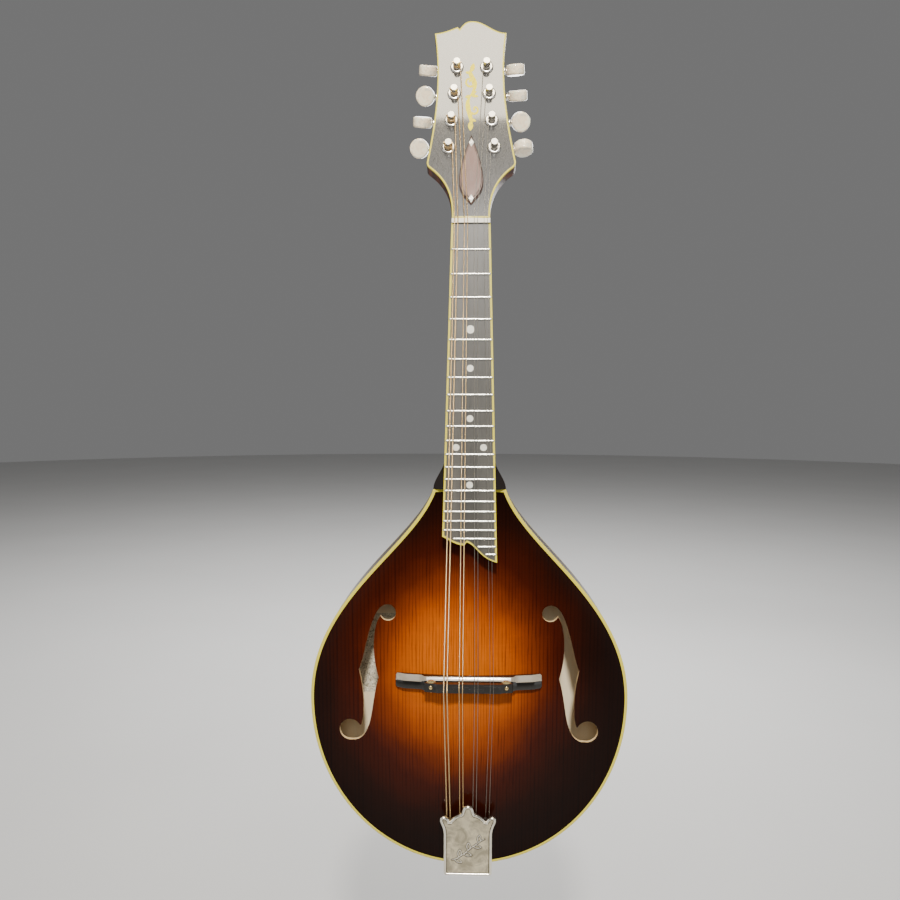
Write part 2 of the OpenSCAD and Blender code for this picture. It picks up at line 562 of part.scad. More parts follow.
// ---- Strings ------------------------------------------------------------------------------
post_r = 2.5;
function post_of(c, k) = c < 2 ? 2 * c + k : 2 * (3 - c) + (1 - k);
function string_path(c, k) = let (s = c < 2 ? -1 : 1, p = post_at(post_of(c, k)), r = string_r[c],
        z = bridge_z + crest_z[c])
    [[tail_x(c, k), edge_y - 5.4, hook_z],
     [saddle_x(c, k), edge_y + saddle_top - 0.1, z - 1.2],
     [saddle_x(c, k), edge_y + saddle_top - 0.1, z + 1.2],
     board_pt([nut_x(c, k), -string_lift - r, 0]),
     board_pt([nut_x(c, k), -string_lift - r, nut_t]),
     head_pt([s * (p.x - post_r - r - 0.3), -5.2, p.y - 1])];
module string(c, k) loft([for (p = string_path(c, k)) [for (a = [0 : 60 : 300])
    p + string_r[c] * [cos(a), -sin(a), 0]]]);
module wound_strings() color("darkgoldenrod") for (c = [0, 1]) for (k = [0, 1]) string(c, k);
module plain_strings() color("silver") for (c = [2, 3]) for (k = [0, 1]) string(c, k);

// ---- Tuners -------------------------------------------------------------------------------
worm_y = 16.8;          // worm axis behind the headstock face
centre_gap = 8;         // from the post's axis up to the worm's axis
gear_pitch_r = 5.6;
gear_tip_r = 6.15;
gear_root_r = 4.85;
gear_t = 2.7;
worm_pitch_r = centre_gap - gear_pitch_r;
worm_tip_r = 3;
worm_root_r = 1.7;
tooth_pitch = 2 * PI * gear_pitch_r / gear_teeth;
lead_angle = atan(tooth_pitch / (2 * PI * worm_pitch_r));
shaft_r = 1.6;
worm_turns = 3;
plate_t = 1;
plate_back = head_back + plate_t;
button_x = 24.5;        // middle of a button from the post's axis
ear_x = 6.2;            // middle of each bearing ear from the post's axis
ferrule_r = 5.3;        // rim of the bushing round each post, seen from the front

module tuner_bushings() color("silver") for (n = TUNERS) at_tuner(n) difference() {
    union() {
        peg(0, 0, barrel_r, 0, 8);
        peg(0, 0, ferrule_r, -0.8, 0);
        translate([0, -0.8, 0]) rotate([90, 0, 0]) cylinder(h = 0.6, r1 = ferrule_r, r2 = ferrule_r - 0.8);
    }
    peg(0, 0, post_r + fit_gap, -3, 9);
}

plate_screws = [-10, 14.2, 14.2 + post_pitch, 14.2 + 2 * post_pitch, 14.2 + 3 * post_pitch - 1];
module tuner_plate(s) on_head() translate([s * post_at(0).x, 0, post_at(0).y]) rotate([0, -s * post_tilt, 0])
    difference() {
        union() {
            slab(head_back, plate_back) polygon([[-7, -14], [7, -14], [8.6, -12], [8.6, 85], [7, 87],
                [-7, 87], [-8.6, 85], [-8.6, -12]]);
            for (i = [0 : 3]) for (e = [-1, 1]) translate([0, 0, i * post_pitch + centre_gap]) {
                translate([e * ear_x - 1, plate_back - 0.2, -2.8]) cube([2, worm_y - plate_back + 0.2, 5.6]);
                translate([0, worm_y, 0]) rod_x(e * ear_x - 1, e * ear_x + 1, 2.8);
            }
        }
        for (i = [0 : 3]) {
            peg(0, i * post_pitch, post_r + 0.1, 0, 30);
            translate([0, worm_y, i * post_pitch + centre_gap]) rod_x(-10, 10, shaft_r + fit_gap);
        }
        for (z = plate_screws) peg(0, z, 1.2, 0, 30);
    }
module tuner_plates() color("silver") {
    tuner_plate(-1);
    tuner_plate(1);
}

// Worm thread as one closed skin: columns of points round the shaft, each a little further along
thread_tip = 0.6;       // width of the thread's crest
thread_flank = 0.4;     // run of each flank along the shaft
thread_profile = let (a = tooth_pitch - thread_tip - 2 * thread_flank)
    [[0, worm_root_r], [a, worm_root_r], [a + thread_flank, worm_tip_r],
     [a + thread_flank + thread_tip, worm_tip_r]];
worm_end = 0.4;         // plain length at each end of the thread
worm_len = tooth_pitch * (worm_turns + 1) + 2 * worm_end;
// Turn that puts a crest over the gap between two gear teeth
thread_turn = let (crest = thread_profile[2][0] + thread_tip / 2)
    360 * ((worm_end + crest - worm_len / 2) / tooth_pitch + 0.75);
module worm_thread() {
    cols = 14;
    rows = 4 * worm_turns + 1;
    function at(i, k) = let (q = thread_profile[i % 4], a = 360 * k / cols,
            x = worm_end + floor(i / 4) * tooth_pitch + q[0] + tooth_pitch * k / cols)
        [x, q[1] * cos(a), q[1] * sin(a)];
    skin_pts = [for (k = [0 : cols - 1]) for (i = [0 : rows - 1]) at(i, k)];
    low = len(skin_pts);
    high = low + cols;
    ends = concat(
        [for (k = [0 : cols - 1]) [0, worm_root_r * cos(360 * k / cols), worm_root_r * sin(360 * k / cols)]],
        [for (k = [0 : cols - 1]) [worm_len, worm_root_r * cos(360 * k / cols), worm_root_r * sin(360 * k / cols)]]);
    function id(i, k) = k < cols ? k * rows + i : i + 4;
    // the seam, where the last column meets the first one a whole turn along
    polyhedron(concat(skin_pts, ends), concat(
        [for (k = [0 : cols - 2]) for (i = [0 : rows - 2])
            each [[id(i, k), id(i + 1, k), id(i + 1, k + 1)], [id(i, k), id(i + 1, k + 1), id(i, k + 1)]]],
        [for (i = [0 : rows - 6]) let (k = cols - 1)
            each [[id(i, k), id(i + 1, k), id(i + 1, cols)], [id(i, k), id(i + 1, cols), id(i, cols)]]],
        [for (k = [0 : cols - 2]) each [[low + k, id(0, k), id(0, k + 1)], [low + k, id(0, k + 1), low + k + 1]]],
        [[low + cols - 1, id(0, cols - 1), low], [low, id(0, cols - 1), id(0, 0)]],
        [for (i = [0 : 3]) [id(0, cols - 1), id(i + 1, 0), id(i, 0)]],
        [for (k = [0 : cols - 2]) each [[id(rows - 1, k), high + k, high + k + 1],
            [id(rows - 1, k), high + k + 1, id(rows - 1, k + 1)]]],
        [[high + cols - 1, high, id(rows - 1, cols - 1)], [high, id(rows - 1, 0), id(rows - 1, cols - 1)]],
        [for (i = [rows - 5 : rows - 2]) [id(i, cols - 1), id(i + 1, cols - 1), id(rows - 1, 0)]],
        [[for (k = [cols - 1 : -1 : 0]) low + k], [for (k = [0 : cols - 1]) high + k]]));
}

module tuner_worm(n) color("silver") at_tuner(n) translate([0, worm_y, centre_gap]) {
    s = side(n);
    translate([-worm_len / 2, 0, 0]) rotate([thread_turn, 0, 0]) worm_thread();
    rod_x(s > 0 ? -7.7 : -30.5, s > 0 ? 30.5 : 7.7, shaft_r);
    rod_x(s * 15.5 - 1.3, s * 15.5 + 1.3, 2.4);
}

// How far each button is turned at rest, in degrees from flat to the front
button_turn = [32, 127, 36, 127, 90, 36, 126, 120];
module tuner_button(n) color("floralwhite") at_tuner(n) translate([side(n) * button_x, worm_y, centre_gap])
    rotate([button_turn[n - 1], 0, 0]) difference() {
        slab(-button_thick / 2, button_thick / 2) polygon([for (a = [0 : 10 : 350])
            [button_len / 2 * cos(a), button_wide / 2 * sin(a)]]);
        rod_x(side(n) > 0 ? -20 : -6.6, side(n) > 0 ? 6.6 : 20, shaft_r + fit_gap);
    }

// Post with its gear: slots between the teeth lean with the worm's thread
module tuner_post(n) color("silver") at_tuner(n) {
    difference() {
        union() {
            peg(0, 0, post_r, -8.3, worm_y - 1);
            peg(0, 0, 3.6, plate_back + 0.1, worm_y - 1);
            peg(0, 0, gear_tip_r, worm_y - gear_t / 2, worm_y + gear_t / 2);
        }
        translate([-6, -6.4, 0]) rod_x(0, 12, 0.8);
        for (k = [0 : gear_teeth - 1]) rotate([0, k * 360 / gear_teeth, 0])
            translate([0, worm_y, gear_root_r]) rotate([0, 0, -lead_angle]) slab(-3, 3)
                polygon([[-0.5, 0], [0.5, 0], [0.96, 2], [-0.96, 2]]);
    }
    difference() {
        peg(0, 0, 2.3, worm_y + gear_t / 2, worm_y + gear_t / 2 + 1.2);
        translate([-3, worm_y + gear_t / 2 + 0.6, -0.35]) cube([6, 2, 0.7]);
    }
}

// ---- Screws -------------------------------------------------------------------------------
// A wood screw with a slotted head; its head rises towards -Y from y = 0
module screw(head_r, head_h, shank_r, long) difference() {
    union() {
        peg(0, 0, shank_r, -0.1, long);
        peg(0, 0, head_r, -head_h, 0);
    }
    translate([-head_r - 1, -head_h - 1, -0.3]) cube([2 * head_r + 2, 1 + head_h * 0.5, 0.6]);
}
module small_screws() color("silver") {
    for (s = [-1, 1]) on_head() translate([s * post_at(0).x, 0, post_at(0).y]) rotate([0, -s * post_tilt, 0])
        for (z = plate_screws) translate([0, plate_back, z]) rotate([180, 40 * z, 0]) screw(2.1, 1, 0.9, 8);
    for (z = [cover_ends[0] + 4.5, cover_ends[1] - 6.5]) on_head() translate([0, -veneer_t, z])
        rotate([0, 35, 0]) screw(1.4, 0.6, 0.7, 6);
    for (s = [-1, 1]) in_body() translate([s * 8, pin_y - 12, -tail_z - 1.3]) rotate([90, 0, 0])
        screw(2.3, 1, 1.1, 12);
}

soundboard();
back_plate();
rib_bass();
rib_treble();
neck_block();
tail_block();
kerfed_linings();
tone_bars();
top_binding();
back_binding();
neck();
heel_cap();
truss_rod();
truss_rod_nut();
truss_rod_cover();
headstock_veneer();
headstock_binding();
headstock_inlay();
nut();
fretboard();
fretboard_binding();
frets();
position_dots();
bridge_base();
bridge_saddle();
bridge_studs();
bridge_wheel_bass();
bridge_wheel_treble();
tailpiece_plate();
tailpiece_cover();
strap_button();
wound_strings();
plain_strings();
tuner_bushings();
tuner_plates();
small_screws();
for (n = TUNERS) tuner_button(n);
for (n = TUNERS) tuner_worm(n);
for (n = TUNERS) tuner_post(n);
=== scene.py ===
"""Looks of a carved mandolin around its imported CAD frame. Lengths are in millimetres until a mesh is made."""
import json
import math
import bpy
import bmesh
import numpy as np
from mathutils import Matrix, Vector
from mathutils.geometry import delaunay_2d_cdt


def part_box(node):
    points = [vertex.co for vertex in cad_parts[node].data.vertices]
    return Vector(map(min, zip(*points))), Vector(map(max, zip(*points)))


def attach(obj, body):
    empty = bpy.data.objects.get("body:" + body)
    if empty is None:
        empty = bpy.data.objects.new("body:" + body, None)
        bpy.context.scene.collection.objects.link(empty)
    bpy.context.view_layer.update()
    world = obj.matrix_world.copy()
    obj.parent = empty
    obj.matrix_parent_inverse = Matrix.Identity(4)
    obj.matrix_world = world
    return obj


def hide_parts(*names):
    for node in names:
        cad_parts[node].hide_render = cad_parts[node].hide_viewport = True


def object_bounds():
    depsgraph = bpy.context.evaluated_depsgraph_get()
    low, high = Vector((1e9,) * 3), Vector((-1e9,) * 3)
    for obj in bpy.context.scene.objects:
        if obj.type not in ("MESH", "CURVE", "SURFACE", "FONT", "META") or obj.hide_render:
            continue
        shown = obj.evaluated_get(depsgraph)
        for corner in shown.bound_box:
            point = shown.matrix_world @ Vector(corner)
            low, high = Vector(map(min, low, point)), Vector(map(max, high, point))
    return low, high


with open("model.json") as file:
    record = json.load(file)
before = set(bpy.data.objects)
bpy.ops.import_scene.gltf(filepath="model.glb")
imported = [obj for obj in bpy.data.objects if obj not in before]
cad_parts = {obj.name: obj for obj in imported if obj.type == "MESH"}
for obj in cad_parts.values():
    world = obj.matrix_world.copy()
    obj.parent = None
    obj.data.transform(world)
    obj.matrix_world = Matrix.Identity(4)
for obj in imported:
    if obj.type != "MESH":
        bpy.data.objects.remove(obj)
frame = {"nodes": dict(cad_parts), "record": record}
cad_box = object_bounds()
MM = 0.001
EDGE_Y = -15.0          # the body's front edge


# ---- Node materials ----
class Look:
    """A material under construction: short calls that add nodes and return their output sockets."""

    def __init__(self, name, **shader):
        self.mat = bpy.data.materials.new(name)
        self.mat.use_nodes = True
        self.tree = self.mat.node_tree
        self.shader = self.tree.nodes["Principled BSDF"]
        for key, value in shader.items():
            self.shader.inputs[key.replace("_", " ")].default_value = value
        self.coord = self.tree.nodes.new("ShaderNodeTexCoord").outputs["Object"]

    def put(self, socket, value):
        if isinstance(value, bpy.types.NodeSocket):
            self.tree.links.new(value, socket)
        else:
            socket.default_value = (*value, 1) if socket.type == "RGBA" else value

    def node(self, kind, out=0, props=(), **inputs):
        n = self.tree.nodes.new("ShaderNode" + kind)
        for key, value in props:
            setattr(n, key, value)
        for key, value in inputs.items():
            self.put(n.inputs[int(key[1:]) if key[0] == "i" and key[1:].isdigit() else key], value)
        return n.outputs[out]

    def place(self, scale, turn=(0, 0, 0)):
        """The object's coordinates stretched by scale, one number or three."""
        stretch = scale if isinstance(scale, tuple) else (scale,) * 3
        return self.node("Mapping", Vector=self.coord, Scale=stretch, Rotation=turn)

    def noise(self, place, detail=3.0, rough=0.5, distort=0.0):
        """Noise over a place: a socket, or the scale of one."""
        vector = place if isinstance(place, bpy.types.NodeSocket) else self.place(place)
        return self.node("TexNoise", Vector=vector, Scale=1.0, Detail=detail, Roughness=rough,
                         Distortion=distort)

    def wave(self, vector, scale, distort=0.0, detail=2.0, detail_scale=1.0, direction="X"):
        return self.node("TexWave", 1, props=[("bands_direction", direction)], Vector=vector, Scale=scale,
                         Distortion=distort, Detail=detail, **{"Detail Scale": detail_scale})

    def math(self, operation, a, b=0.0, clamp=False):
        return self.node("Math", props=[("operation", operation), ("use_clamp", clamp)], i0=a, i1=b)

    def ramp(self, value, *stops):
        n = self.tree.nodes.new("ShaderNodeValToRGB")
        self.put(n.inputs[0], value)
        elements = n.color_ramp.elements
        while len(elements) < len(stops):
            elements.new(0.5)
        for element, (place, colour) in zip(elements, stops):
            element.position = place
            element.color = (*colour, 1)
        return n.outputs[0]

    def grey(self, value, low, high, start=0.0, end=1.0):
        spans = {"From Min": start, "From Max": end, "To Min": low, "To Max": high}
        return self.node("MapRange", Value=value, **spans)

    def mix(self, share, a, b, blend="MIX"):
        return self.node("Mix", 2, [("data_type", "RGBA"), ("blend_type", blend)], i0=share, i6=a, i7=b)

    def tinted(self, colour, tint):
        return self.mix(1.0, colour, tint, "MULTIPLY")

    def axis(self, n):
        return self.node("SeparateXYZ", n, i0=self.coord)

    def finish(self, colour, rough=None, height=None, depth=0.0, strength=0.0):
        """The material in its colour and, where they are given, with its roughness and bump."""
        self.put(self.shader.inputs["Base Color"], colour)
        if rough is not None:
            self.put(self.shader.inputs["Roughness"], rough)
            bump = self.node("Bump", Height=height, Strength=strength, Distance=depth)
            self.put(self.shader.inputs["Normal"], bump)
        return self.mat


BURST = [
    (0.0, (0.52, 0.125, 0.003)), (0.26, (0.43, 0.09, 0.002)), (0.38, (0.3, 0.055, 0.0016)),
    (0.47, (0.16, 0.025, 0.0012)), (0.57, (0.074, 0.0098, 0.001)), (0.66, (0.036, 0.0044, 0.0008)),
    (0.85, (0.012, 0.0021, 0.0005)), (1.0, (0.006, 0.0012, 0.0004))]


def burst_distance(look, centre_z, half_z):
    """0 in the middle of the burst and 1 where it is darkest."""
    dx = look.math("DIVIDE", look.math("ADD", look.axis(0), 0.01), 0.125)
    dz = look.math("DIVIDE", look.math("SUBTRACT", look.axis(2), centre_z), half_z)
    d = look.math("SQRT", look.math("ADD", look.math("MULTIPLY", dx, dx), look.math("MULTIPLY", dz, dz)))
    return look.math("ADD", d, look.grey(look.noise(22, 2.0), -0.035, 0.035, 0.3, 0.7), clamp=True)


def spruce_top():
    look = Look("spruce_sunburst", Coat_Weight=0.22, Coat_Roughness=0.04, Coat_IOR=1.35,
                Specular_IOR_Level=0.06)
    burst = look.ramp(burst_distance(look, -0.351, 0.15), *BURST)
    # annual rings: closer together along the glued middle than at the edges
    spread = look.math("POWER", look.math("ABSOLUTE", look.axis(0)), 0.82)
    bend = look.grey(look.noise((30, 30, 2.2)), -0.0035, 0.0035)
    uneven = look.grey(look.noise((210, 210, 2.5)), -0.0022, 0.0022)
    shifted = look.math("ADD", spread, look.math("ADD", bend, uneven))
    rings = look.wave(look.node("CombineXYZ", X=shifted), 78.0)
    bold = look.grey(look.noise((420, 420, 3), 1.0), 0.25, 1.3, 0.3, 0.7)
    late = look.math("MULTIPLY", look.math("POWER", rings, 4.0), bold)
    fine = look.noise((900, 900, 9), 4.0, 0.6)
    grain = look.math("ADD", late, look.grey(fine, 0.0, 0.25, 0.35, 0.75))
    dark = look.tinted(burst, (0.36, 0.26, 0.2))
    colour = look.mix(look.math("MULTIPLY", grain, 0.68, clamp=True), burst, dark)
    silk = look.grey(look.noise((60, 60, 520), 2.0), 0.0, 0.16, 0.45, 0.8)
    colour = look.mix(silk, colour, look.tinted(colour, (1.5, 1.4, 1.2)))
    return look.finish(colour, look.grey(fine, 0.27, 0.36), grain, 0.00004, 0.35)


def flamed(name, burst_centre=None, base=None, gloss=True, flame_axis="Z", heel=None):
    """Maple with curl across the grain, under dark lacquer; black below the height heel."""
    look = Look(name, Coat_Weight=0.6 if gloss else 0.25, Coat_Roughness=0.05 if gloss else 0.3,
                Coat_IOR=1.4, Specular_IOR_Level=0.15)
    if burst_centre is None:
        burst = look.mix(look.noise(8), base, tuple(1.5 * c for c in base))
    else:
        burst = look.ramp(
            burst_distance(look, burst_centre, 0.14), (0.0, (0.4, 0.085, 0.006)),
            (0.35, (0.27, 0.05, 0.005)), (0.62, (0.1, 0.015, 0.003)), (1.0, (0.016, 0.004, 0.0018)))
    curl_place = look.place(14, (0, 0.16 if flame_axis == "Z" else 0, 0))
    curl = look.wave(curl_place, 3.6, 5.0, 3.0, 1.6, flame_axis)
    hair = look.noise((420, 420, 14), 4.0, 0.6)
    light = look.tinted(burst, (1.75, 1.7, 1.5))
    dark = look.tinted(burst, (0.62, 0.55, 0.5))
    colour = look.mix(look.grey(curl, 0.0, 1.0, 0.15, 0.85), dark, light)
    colour = look.mix(look.grey(hair, 0.0, 0.35, 0.5, 0.75), colour, dark)
    if heel is not None:
        low = look.grey(look.axis(2), 1.0, 0.0, heel - 0.02, heel + 0.01)
        colour = look.mix(low, colour, (0.006, 0.0025, 0.0012))
    rough = look.grey(hair, 0.28, 0.42) if gloss else look.grey(hair, 0.4, 0.52)
    return look.finish(colour, rough, hair, 0.00003, 0.25)


def bare_wood(name, low, high, grain=(300, 300, 12), rough=0.62, coat=0.0):
    look = Look(name, Coat_Weight=coat, Coat_Roughness=0.12)
    fine = look.noise(grain, 5.0, 0.62)
    broad = look.noise(tuple(g * 0.1 for g in grain), 2.0)
    colour = look.mix(look.grey(fine, 0.0, 1.0, 0.3, 0.72), low, high)
    worn = look.tinted(colour, (0.7, 0.66, 0.6))
    colour = look.mix(look.grey(broad, 0.0, 0.35, 0.35, 0.7), colour, worn)
    return look.finish(colour, look.grey(fine, rough - 0.07, rough + 0.09), fine, 0.00006, 0.4)


def ivoroid():
    """Ivory-coloured plastic with fine parallel grain, yellowed by its lacquer."""
    look = Look("ivoroid", Coat_Weight=0.2, Coat_Roughness=0.06, Specular_IOR_Level=0.2)
    grain = look.wave(look.coord, 420.0, 3.0, 2.0, 3.0)
    colour = look.mix(grain, (0.68, 0.6, 0.075), (0.61, 0.52, 0.055))
    colour = look.mix(look.grey(look.noise(45), 0.0, 0.3, 0.3, 0.7), colour, (0.54, 0.43, 0.045))
    return look.finish(colour, look.grey(grain, 0.25, 0.34), grain, 0.00002, 0.2)


# where each hue of pearl lies among its cells, and its share of the tint's red, green and blue
PEARL_HUES = [(0.34, 0.72, 0.74, 0.76), (0.45, 1, 0.9, 0.8), (0.55, 1, 1, 1), (0.66, 0.86, 0.97, 0.9),
              (0.8, 1.12, 1.12, 1.12)]


def pearl(name, tint, scale, rough, flake=1.0, coat=0.8):
    """Mother of pearl or its plastic: soft cells, each with its own pale hue."""
    look = Look(name, Coat_Weight=coat, Coat_Roughness=0.04, Specular_IOR_Level=0.6 if coat > 0.5 else 0.2)
    warp = look.noise(scale * 0.5)
    bent = look.node("VectorMath", props=[("operation", "ADD")], i0=look.place(scale), i1=warp)
    cells = look.noise(bent, 4.0, 0.6, 1.6)
    hues = [(at, tuple(min(1, t * k) for t, k in zip(tint, shares))) for at, *shares in PEARL_HUES]
    rubbed = look.grey(cells, rough, rough + 0.16)
    return look.finish(look.ramp(cells, *hues), rubbed, cells, 0.0001 * flake, 0.15)


def metal(name, colour, rough, streak=350, spread=0.12, wear=0.2, clouds=38):
    """Plated or turned metal: faint rub marks and duller patches."""
    look = Look(name, Metallic=1.0)
    rub = look.noise(streak, 4.0, 0.65)
    dull = look.noise(clouds, 4.0, 0.6, 0.8)
    shade = look.mix(look.grey(dull, 0.0, wear, 0.4, 0.62), colour, tuple(c * 0.5 for c in colour))
    patches = look.grey(dull, 0.0, 0.1, 0.4, 0.8)
    rubbed = look.math("ADD", look.grey(rub, rough, rough + spread), patches)
    return look.finish(shade, rubbed, rub, 0.00002, 0.2)


def wound_wire():
    look = Look("bronze_winding", Metallic=1.0)
    wraps = look.wave(look.place((0.05, 0.05, 1)), 620.0, direction="Z")
    tarnish = look.noise(60)
    colour = look.mix(tarnish, (0.98, 0.76, 0.42), (0.8, 0.54, 0.26))
    # painted shade: darker bronze in the grooves between the wraps
    colour = look.mix(look.grey(wraps, 0.35, 0.0), colour, (0.4, 0.22, 0.09))
    return look.finish(colour, look.grey(tarnish, 0.26, 0.4), wraps, 0.00012, 0.8)


def paper():
    """Mottled grey and cream label paper."""
    look = Look("label_paper", Specular_IOR_Level=0.2)
    edges = [("feature", "DISTANCE_TO_EDGE")]
    cells = look.node("TexVoronoi", props=edges, Vector=look.place(520), Scale=1.0)
    fibre = look.noise(2400, 2.0)
    colour = look.ramp(look.noise(430, 5.0, 0.7, 1.2), (0.36, (0.09, 0.08, 0.06)), (0.43, (0.5, 0.44, 0.31)),
                       (0.5, (0.86, 0.79, 0.6)), (0.66, (0.95, 0.92, 0.78)))
    colour = look.mix(look.grey(cells, 0.35, 0.0, 0.0, 0.25), colour, (0.12, 0.1, 0.08))
    return look.finish(colour, look.grey(fibre, 0.65, 0.85), fibre, 0.00003, 0.3)


def dark_board(name, low, high, rough, coat=0.0, grain=(520, 520, 16), coat_ior=1.5, shine=0.55):
    """Ebony or rosewood: long thin pores along the grain."""
    look = Look(name, Coat_Weight=coat, Coat_Roughness=0.1 if "ebony" in name else 0.05,
                Coat_IOR=coat_ior, Specular_IOR_Level=shine)
    pores = look.noise(grain, 5.0, 0.7)
    streak = look.noise(tuple(g * 0.16 for g in grain))
    colour = look.mix(look.grey(streak, 0.0, 1.0, 0.3, 0.7), low, high)
    colour = look.mix(look.grey(pores, 0.0, 0.7, 0.55, 0.75), colour, tuple(c * 0.4 for c in low))
    return look.finish(colour, look.grey(pores, rough - 0.05, rough + 0.1), pores, 0.00005, 0.35)


ACROSS, ROSEWOOD_GRAIN = (16, 520, 520), (400, 400, 14)
LOOKS = {
    "spruce_top": spruce_top(),
    "flamed_maple": flamed("flamed_maple_burst", -0.36),
    "side_maple": flamed("flamed_maple_side", None, (0.03, 0.0065, 0.0022), True, "X"),
    "neck_maple": flamed("neck_maple", None, (0.055, 0.012, 0.0035), False, heel=-0.165),
    "inner_maple": bare_wood("pale_maple", (0.95, 0.8, 0.54), (0.99, 0.89, 0.66)),
    "plain_wood": bare_wood("bare_maple", (0.66, 0.5, 0.3), (0.84, 0.69, 0.47)),
    "raw_spruce": bare_wood("bare_spruce", (0.62, 0.42, 0.2), (0.8, 0.62, 0.36), (700, 700, 10)),
    "ebony": dark_board("polished_ebony", (0.005, 0.0045, 0.004), (0.011, 0.009, 0.007), 0.2, 0.9, ACROSS,
        shine=0.15),
    "veneer": dark_board("lacquered_veneer", (0.01, 0.009, 0.008), (0.018, 0.015, 0.012), 0.25, 1.0,
        coat_ior=1.9),
    # painted highlight: a light grey copy of ebony for the bridge foot's faces that turn up towards the light
    "ebony_painted_highlight": dark_board("ebony_painted_highlight", (0.21, 0.18, 0.14), (0.32, 0.28, 0.22), 0.3, 0.6, ACROSS),
    "matt_black": dark_board("matt_black", (0.004, 0.004, 0.004), (0.008, 0.007, 0.006), 0.6, shine=0.1),
    "ebony_board": dark_board("oiled_ebony", (0.04, 0.038, 0.033), (0.088, 0.083, 0.073), 0.38),
    "rosewood": dark_board("rosewood", (0.13, 0.058, 0.04), (0.23, 0.115, 0.082), 0.24, 0.9,
        ROSEWOOD_GRAIN, 1.9),
    "ivoroid": ivoroid(),
    "ivory_plastic": pearl("ivory_plastic", (0.82, 0.76, 0.58), 90, 0.2),
    "bone": bare_wood("polished_bone", (0.8, 0.75, 0.6), (0.88, 0.85, 0.74), (900, 90, 900), 0.3, 0.3),
    "pearl": pearl("mother_of_pearl", (0.8, 0.82, 0.76), 420, 0.14),
    "inlay_pearl": pearl("gold_pearl", (0.9, 0.76, 0.0), 300, 0.4, 1.0, 0.05),
    "pearloid": pearl("pearloid", (0.99, 0.91, 0.72), 150, 0.1, 3.0),
    "nickel": metal("nickel", (0.8, 0.77, 0.71), 0.14),
    "satin_nickel": metal("rubbed_nickel", (0.9, 0.86, 0.74), 0.17, (90, 420, 420), 0.1, 0.3),
    "fret_metal": metal("fret_silver", (0.84, 0.83, 0.77), 0.16, (40, 900, 900)),
    "panel_nickel": metal("mottled_nickel", (0.8, 0.72, 0.53), 0.26, (60, 300, 300), 0.2, 0.9, 95),
    "tarnish": metal("tarnish", (0.13, 0.11, 0.075), 0.4),
    "plain_wire": metal("plain_wire", (0.32, 0.3, 0.26), 0.3, (900, 900, 30)),
    "steel": metal("drawn_steel", (0.7, 0.7, 0.69), 0.2, (900, 900, 30)),
    "bronze": wound_wire(),
    "brass": metal("turned_brass", (0.8, 0.6, 0.28), 0.17, (500, 60, 500)),
    "paper": paper(),
}


# ---- Frames and outlines ----
def moved(y, z, turn):
    """A move in Y and Z, then a turn in degrees about X."""
    return Matrix.Translation((0, y, z)) @ Matrix.Rotation(math.radians(turn), 4, "X")


BOARD_Y, BOARD_THICK, BOARD_TILT = 6.8, 5.5, 5      # depth of the fretboard's top at the nut, tilt in degrees
BODY = moved(EDGE_Y, 0, 0)
BOARD = moved(EDGE_Y + BOARD_Y, 0, -BOARD_TILT)
HEAD = BOARD @ moved(2, 4.6, -12)
POST_X, POST_Z, POST_PITCH, POST_TILT = 17.8, 58.7, 23.26, math.radians(5)


def side(n):
    return -1 if n <= 4 else 1


def tuner(n):
    along = POST_PITCH * ((n - 1) % 4)
    x, z = POST_X - along * math.sin(POST_TILT), POST_Z + along * math.cos(POST_TILT)
    return HEAD @ Matrix.Translation((side(n) * x, 0, z)) @ Matrix.Rotation(-side(n) * POST_TILT, 4, "Y")


def through(matrix, points):
    m = np.array(matrix)
    return np.asarray(points, float) @ m[:3, :3].T + m[:3, 3]


def curve(c, n):
    """n points of a Bezier curve, its last point left out."""
    t = np.arange(n)[:, None] / n
    c = np.asarray(c, float)
    return (1 - t) ** 3 * c[0] + 3 * (1 - t) ** 2 * t * c[1] + 3 * (1 - t) * t ** 2 * c[2] + t ** 3 * c[3]


def chain(start, *bends):
    """Bezier curves end to end, each as (handle, handle, end, count); the last end is left out."""
    points = []
    for first, second, end, n in bends:
        points.append(curve([start, first, second, end], n))
        start = end
    return np.vstack(points)


def whole(c, n=22):
    return np.vstack([curve(c, n), [c[-1]]])


def around(count):
    """Angles evenly spaced round a circle."""
    return np.arange(count) * 2 * math.pi / count


def circle(centre, r, count):
    a = around(count)
    return np.column_stack([centre[0] + r * np.cos(a), centre[1] + r * np.sin(a)])


def smooth(t):
    t = np.clip(t, 0, 1)
    return t * t * (3 - 2 * t)


def unit(v):
    return v / np.linalg.norm(v, axis=1)[:, None]


def left_of(v):
    return np.column_stack([-v[:, 1], v[:, 0]])


def inset(p, d):
    """A closed anticlockwise outline moved inwards by d."""
    p = np.asarray(p, float)
    if abs(d) < 1e-6:
        return p
    m = left_of(unit(p - np.roll(p, 1, 0))) + left_of(unit(np.roll(p, -1, 0) - p))
    return p + m * (2 * d / (m * m).sum(1))[:, None]


JOINT_Z, TAIL_Z, WAIST_Z, BODY_HALF, CORNER = 203.5, 518.0, 376.4, 128.5, 28.5
DEPTH, LIP, BINDING = 42.0, 4.5, 2.4
TOP_RISE, BACK_RISE, DROP = 11.5, 12.0, 0.6         # arching, and how far the plates dip near the rim
FLAT_RIM = 0.93                                     # share of the way to the rim where the arch ends
half_rim = chain((CORNER, -JOINT_Z), ((44.7, -251.7), (BODY_HALF, -292.2), (BODY_HALF, -WAIST_Z), 72),
                 ((BODY_HALF, -456.8), (70.9, -TAIL_Z), (0, -TAIL_Z), 56))
RIM = np.vstack([half_rim * (-1, 1), [[0, -TAIL_Z]], half_rim[::-1]])
PLATE = inset(RIM, BINDING)
CROWN = np.array([0.0, -372.0])
_polar = np.arctan2(*(PLATE - CROWN).T[::-1])
_order = np.argsort(_polar)
_radius = np.linalg.norm(PLATE - CROWN, axis=1)[_order]
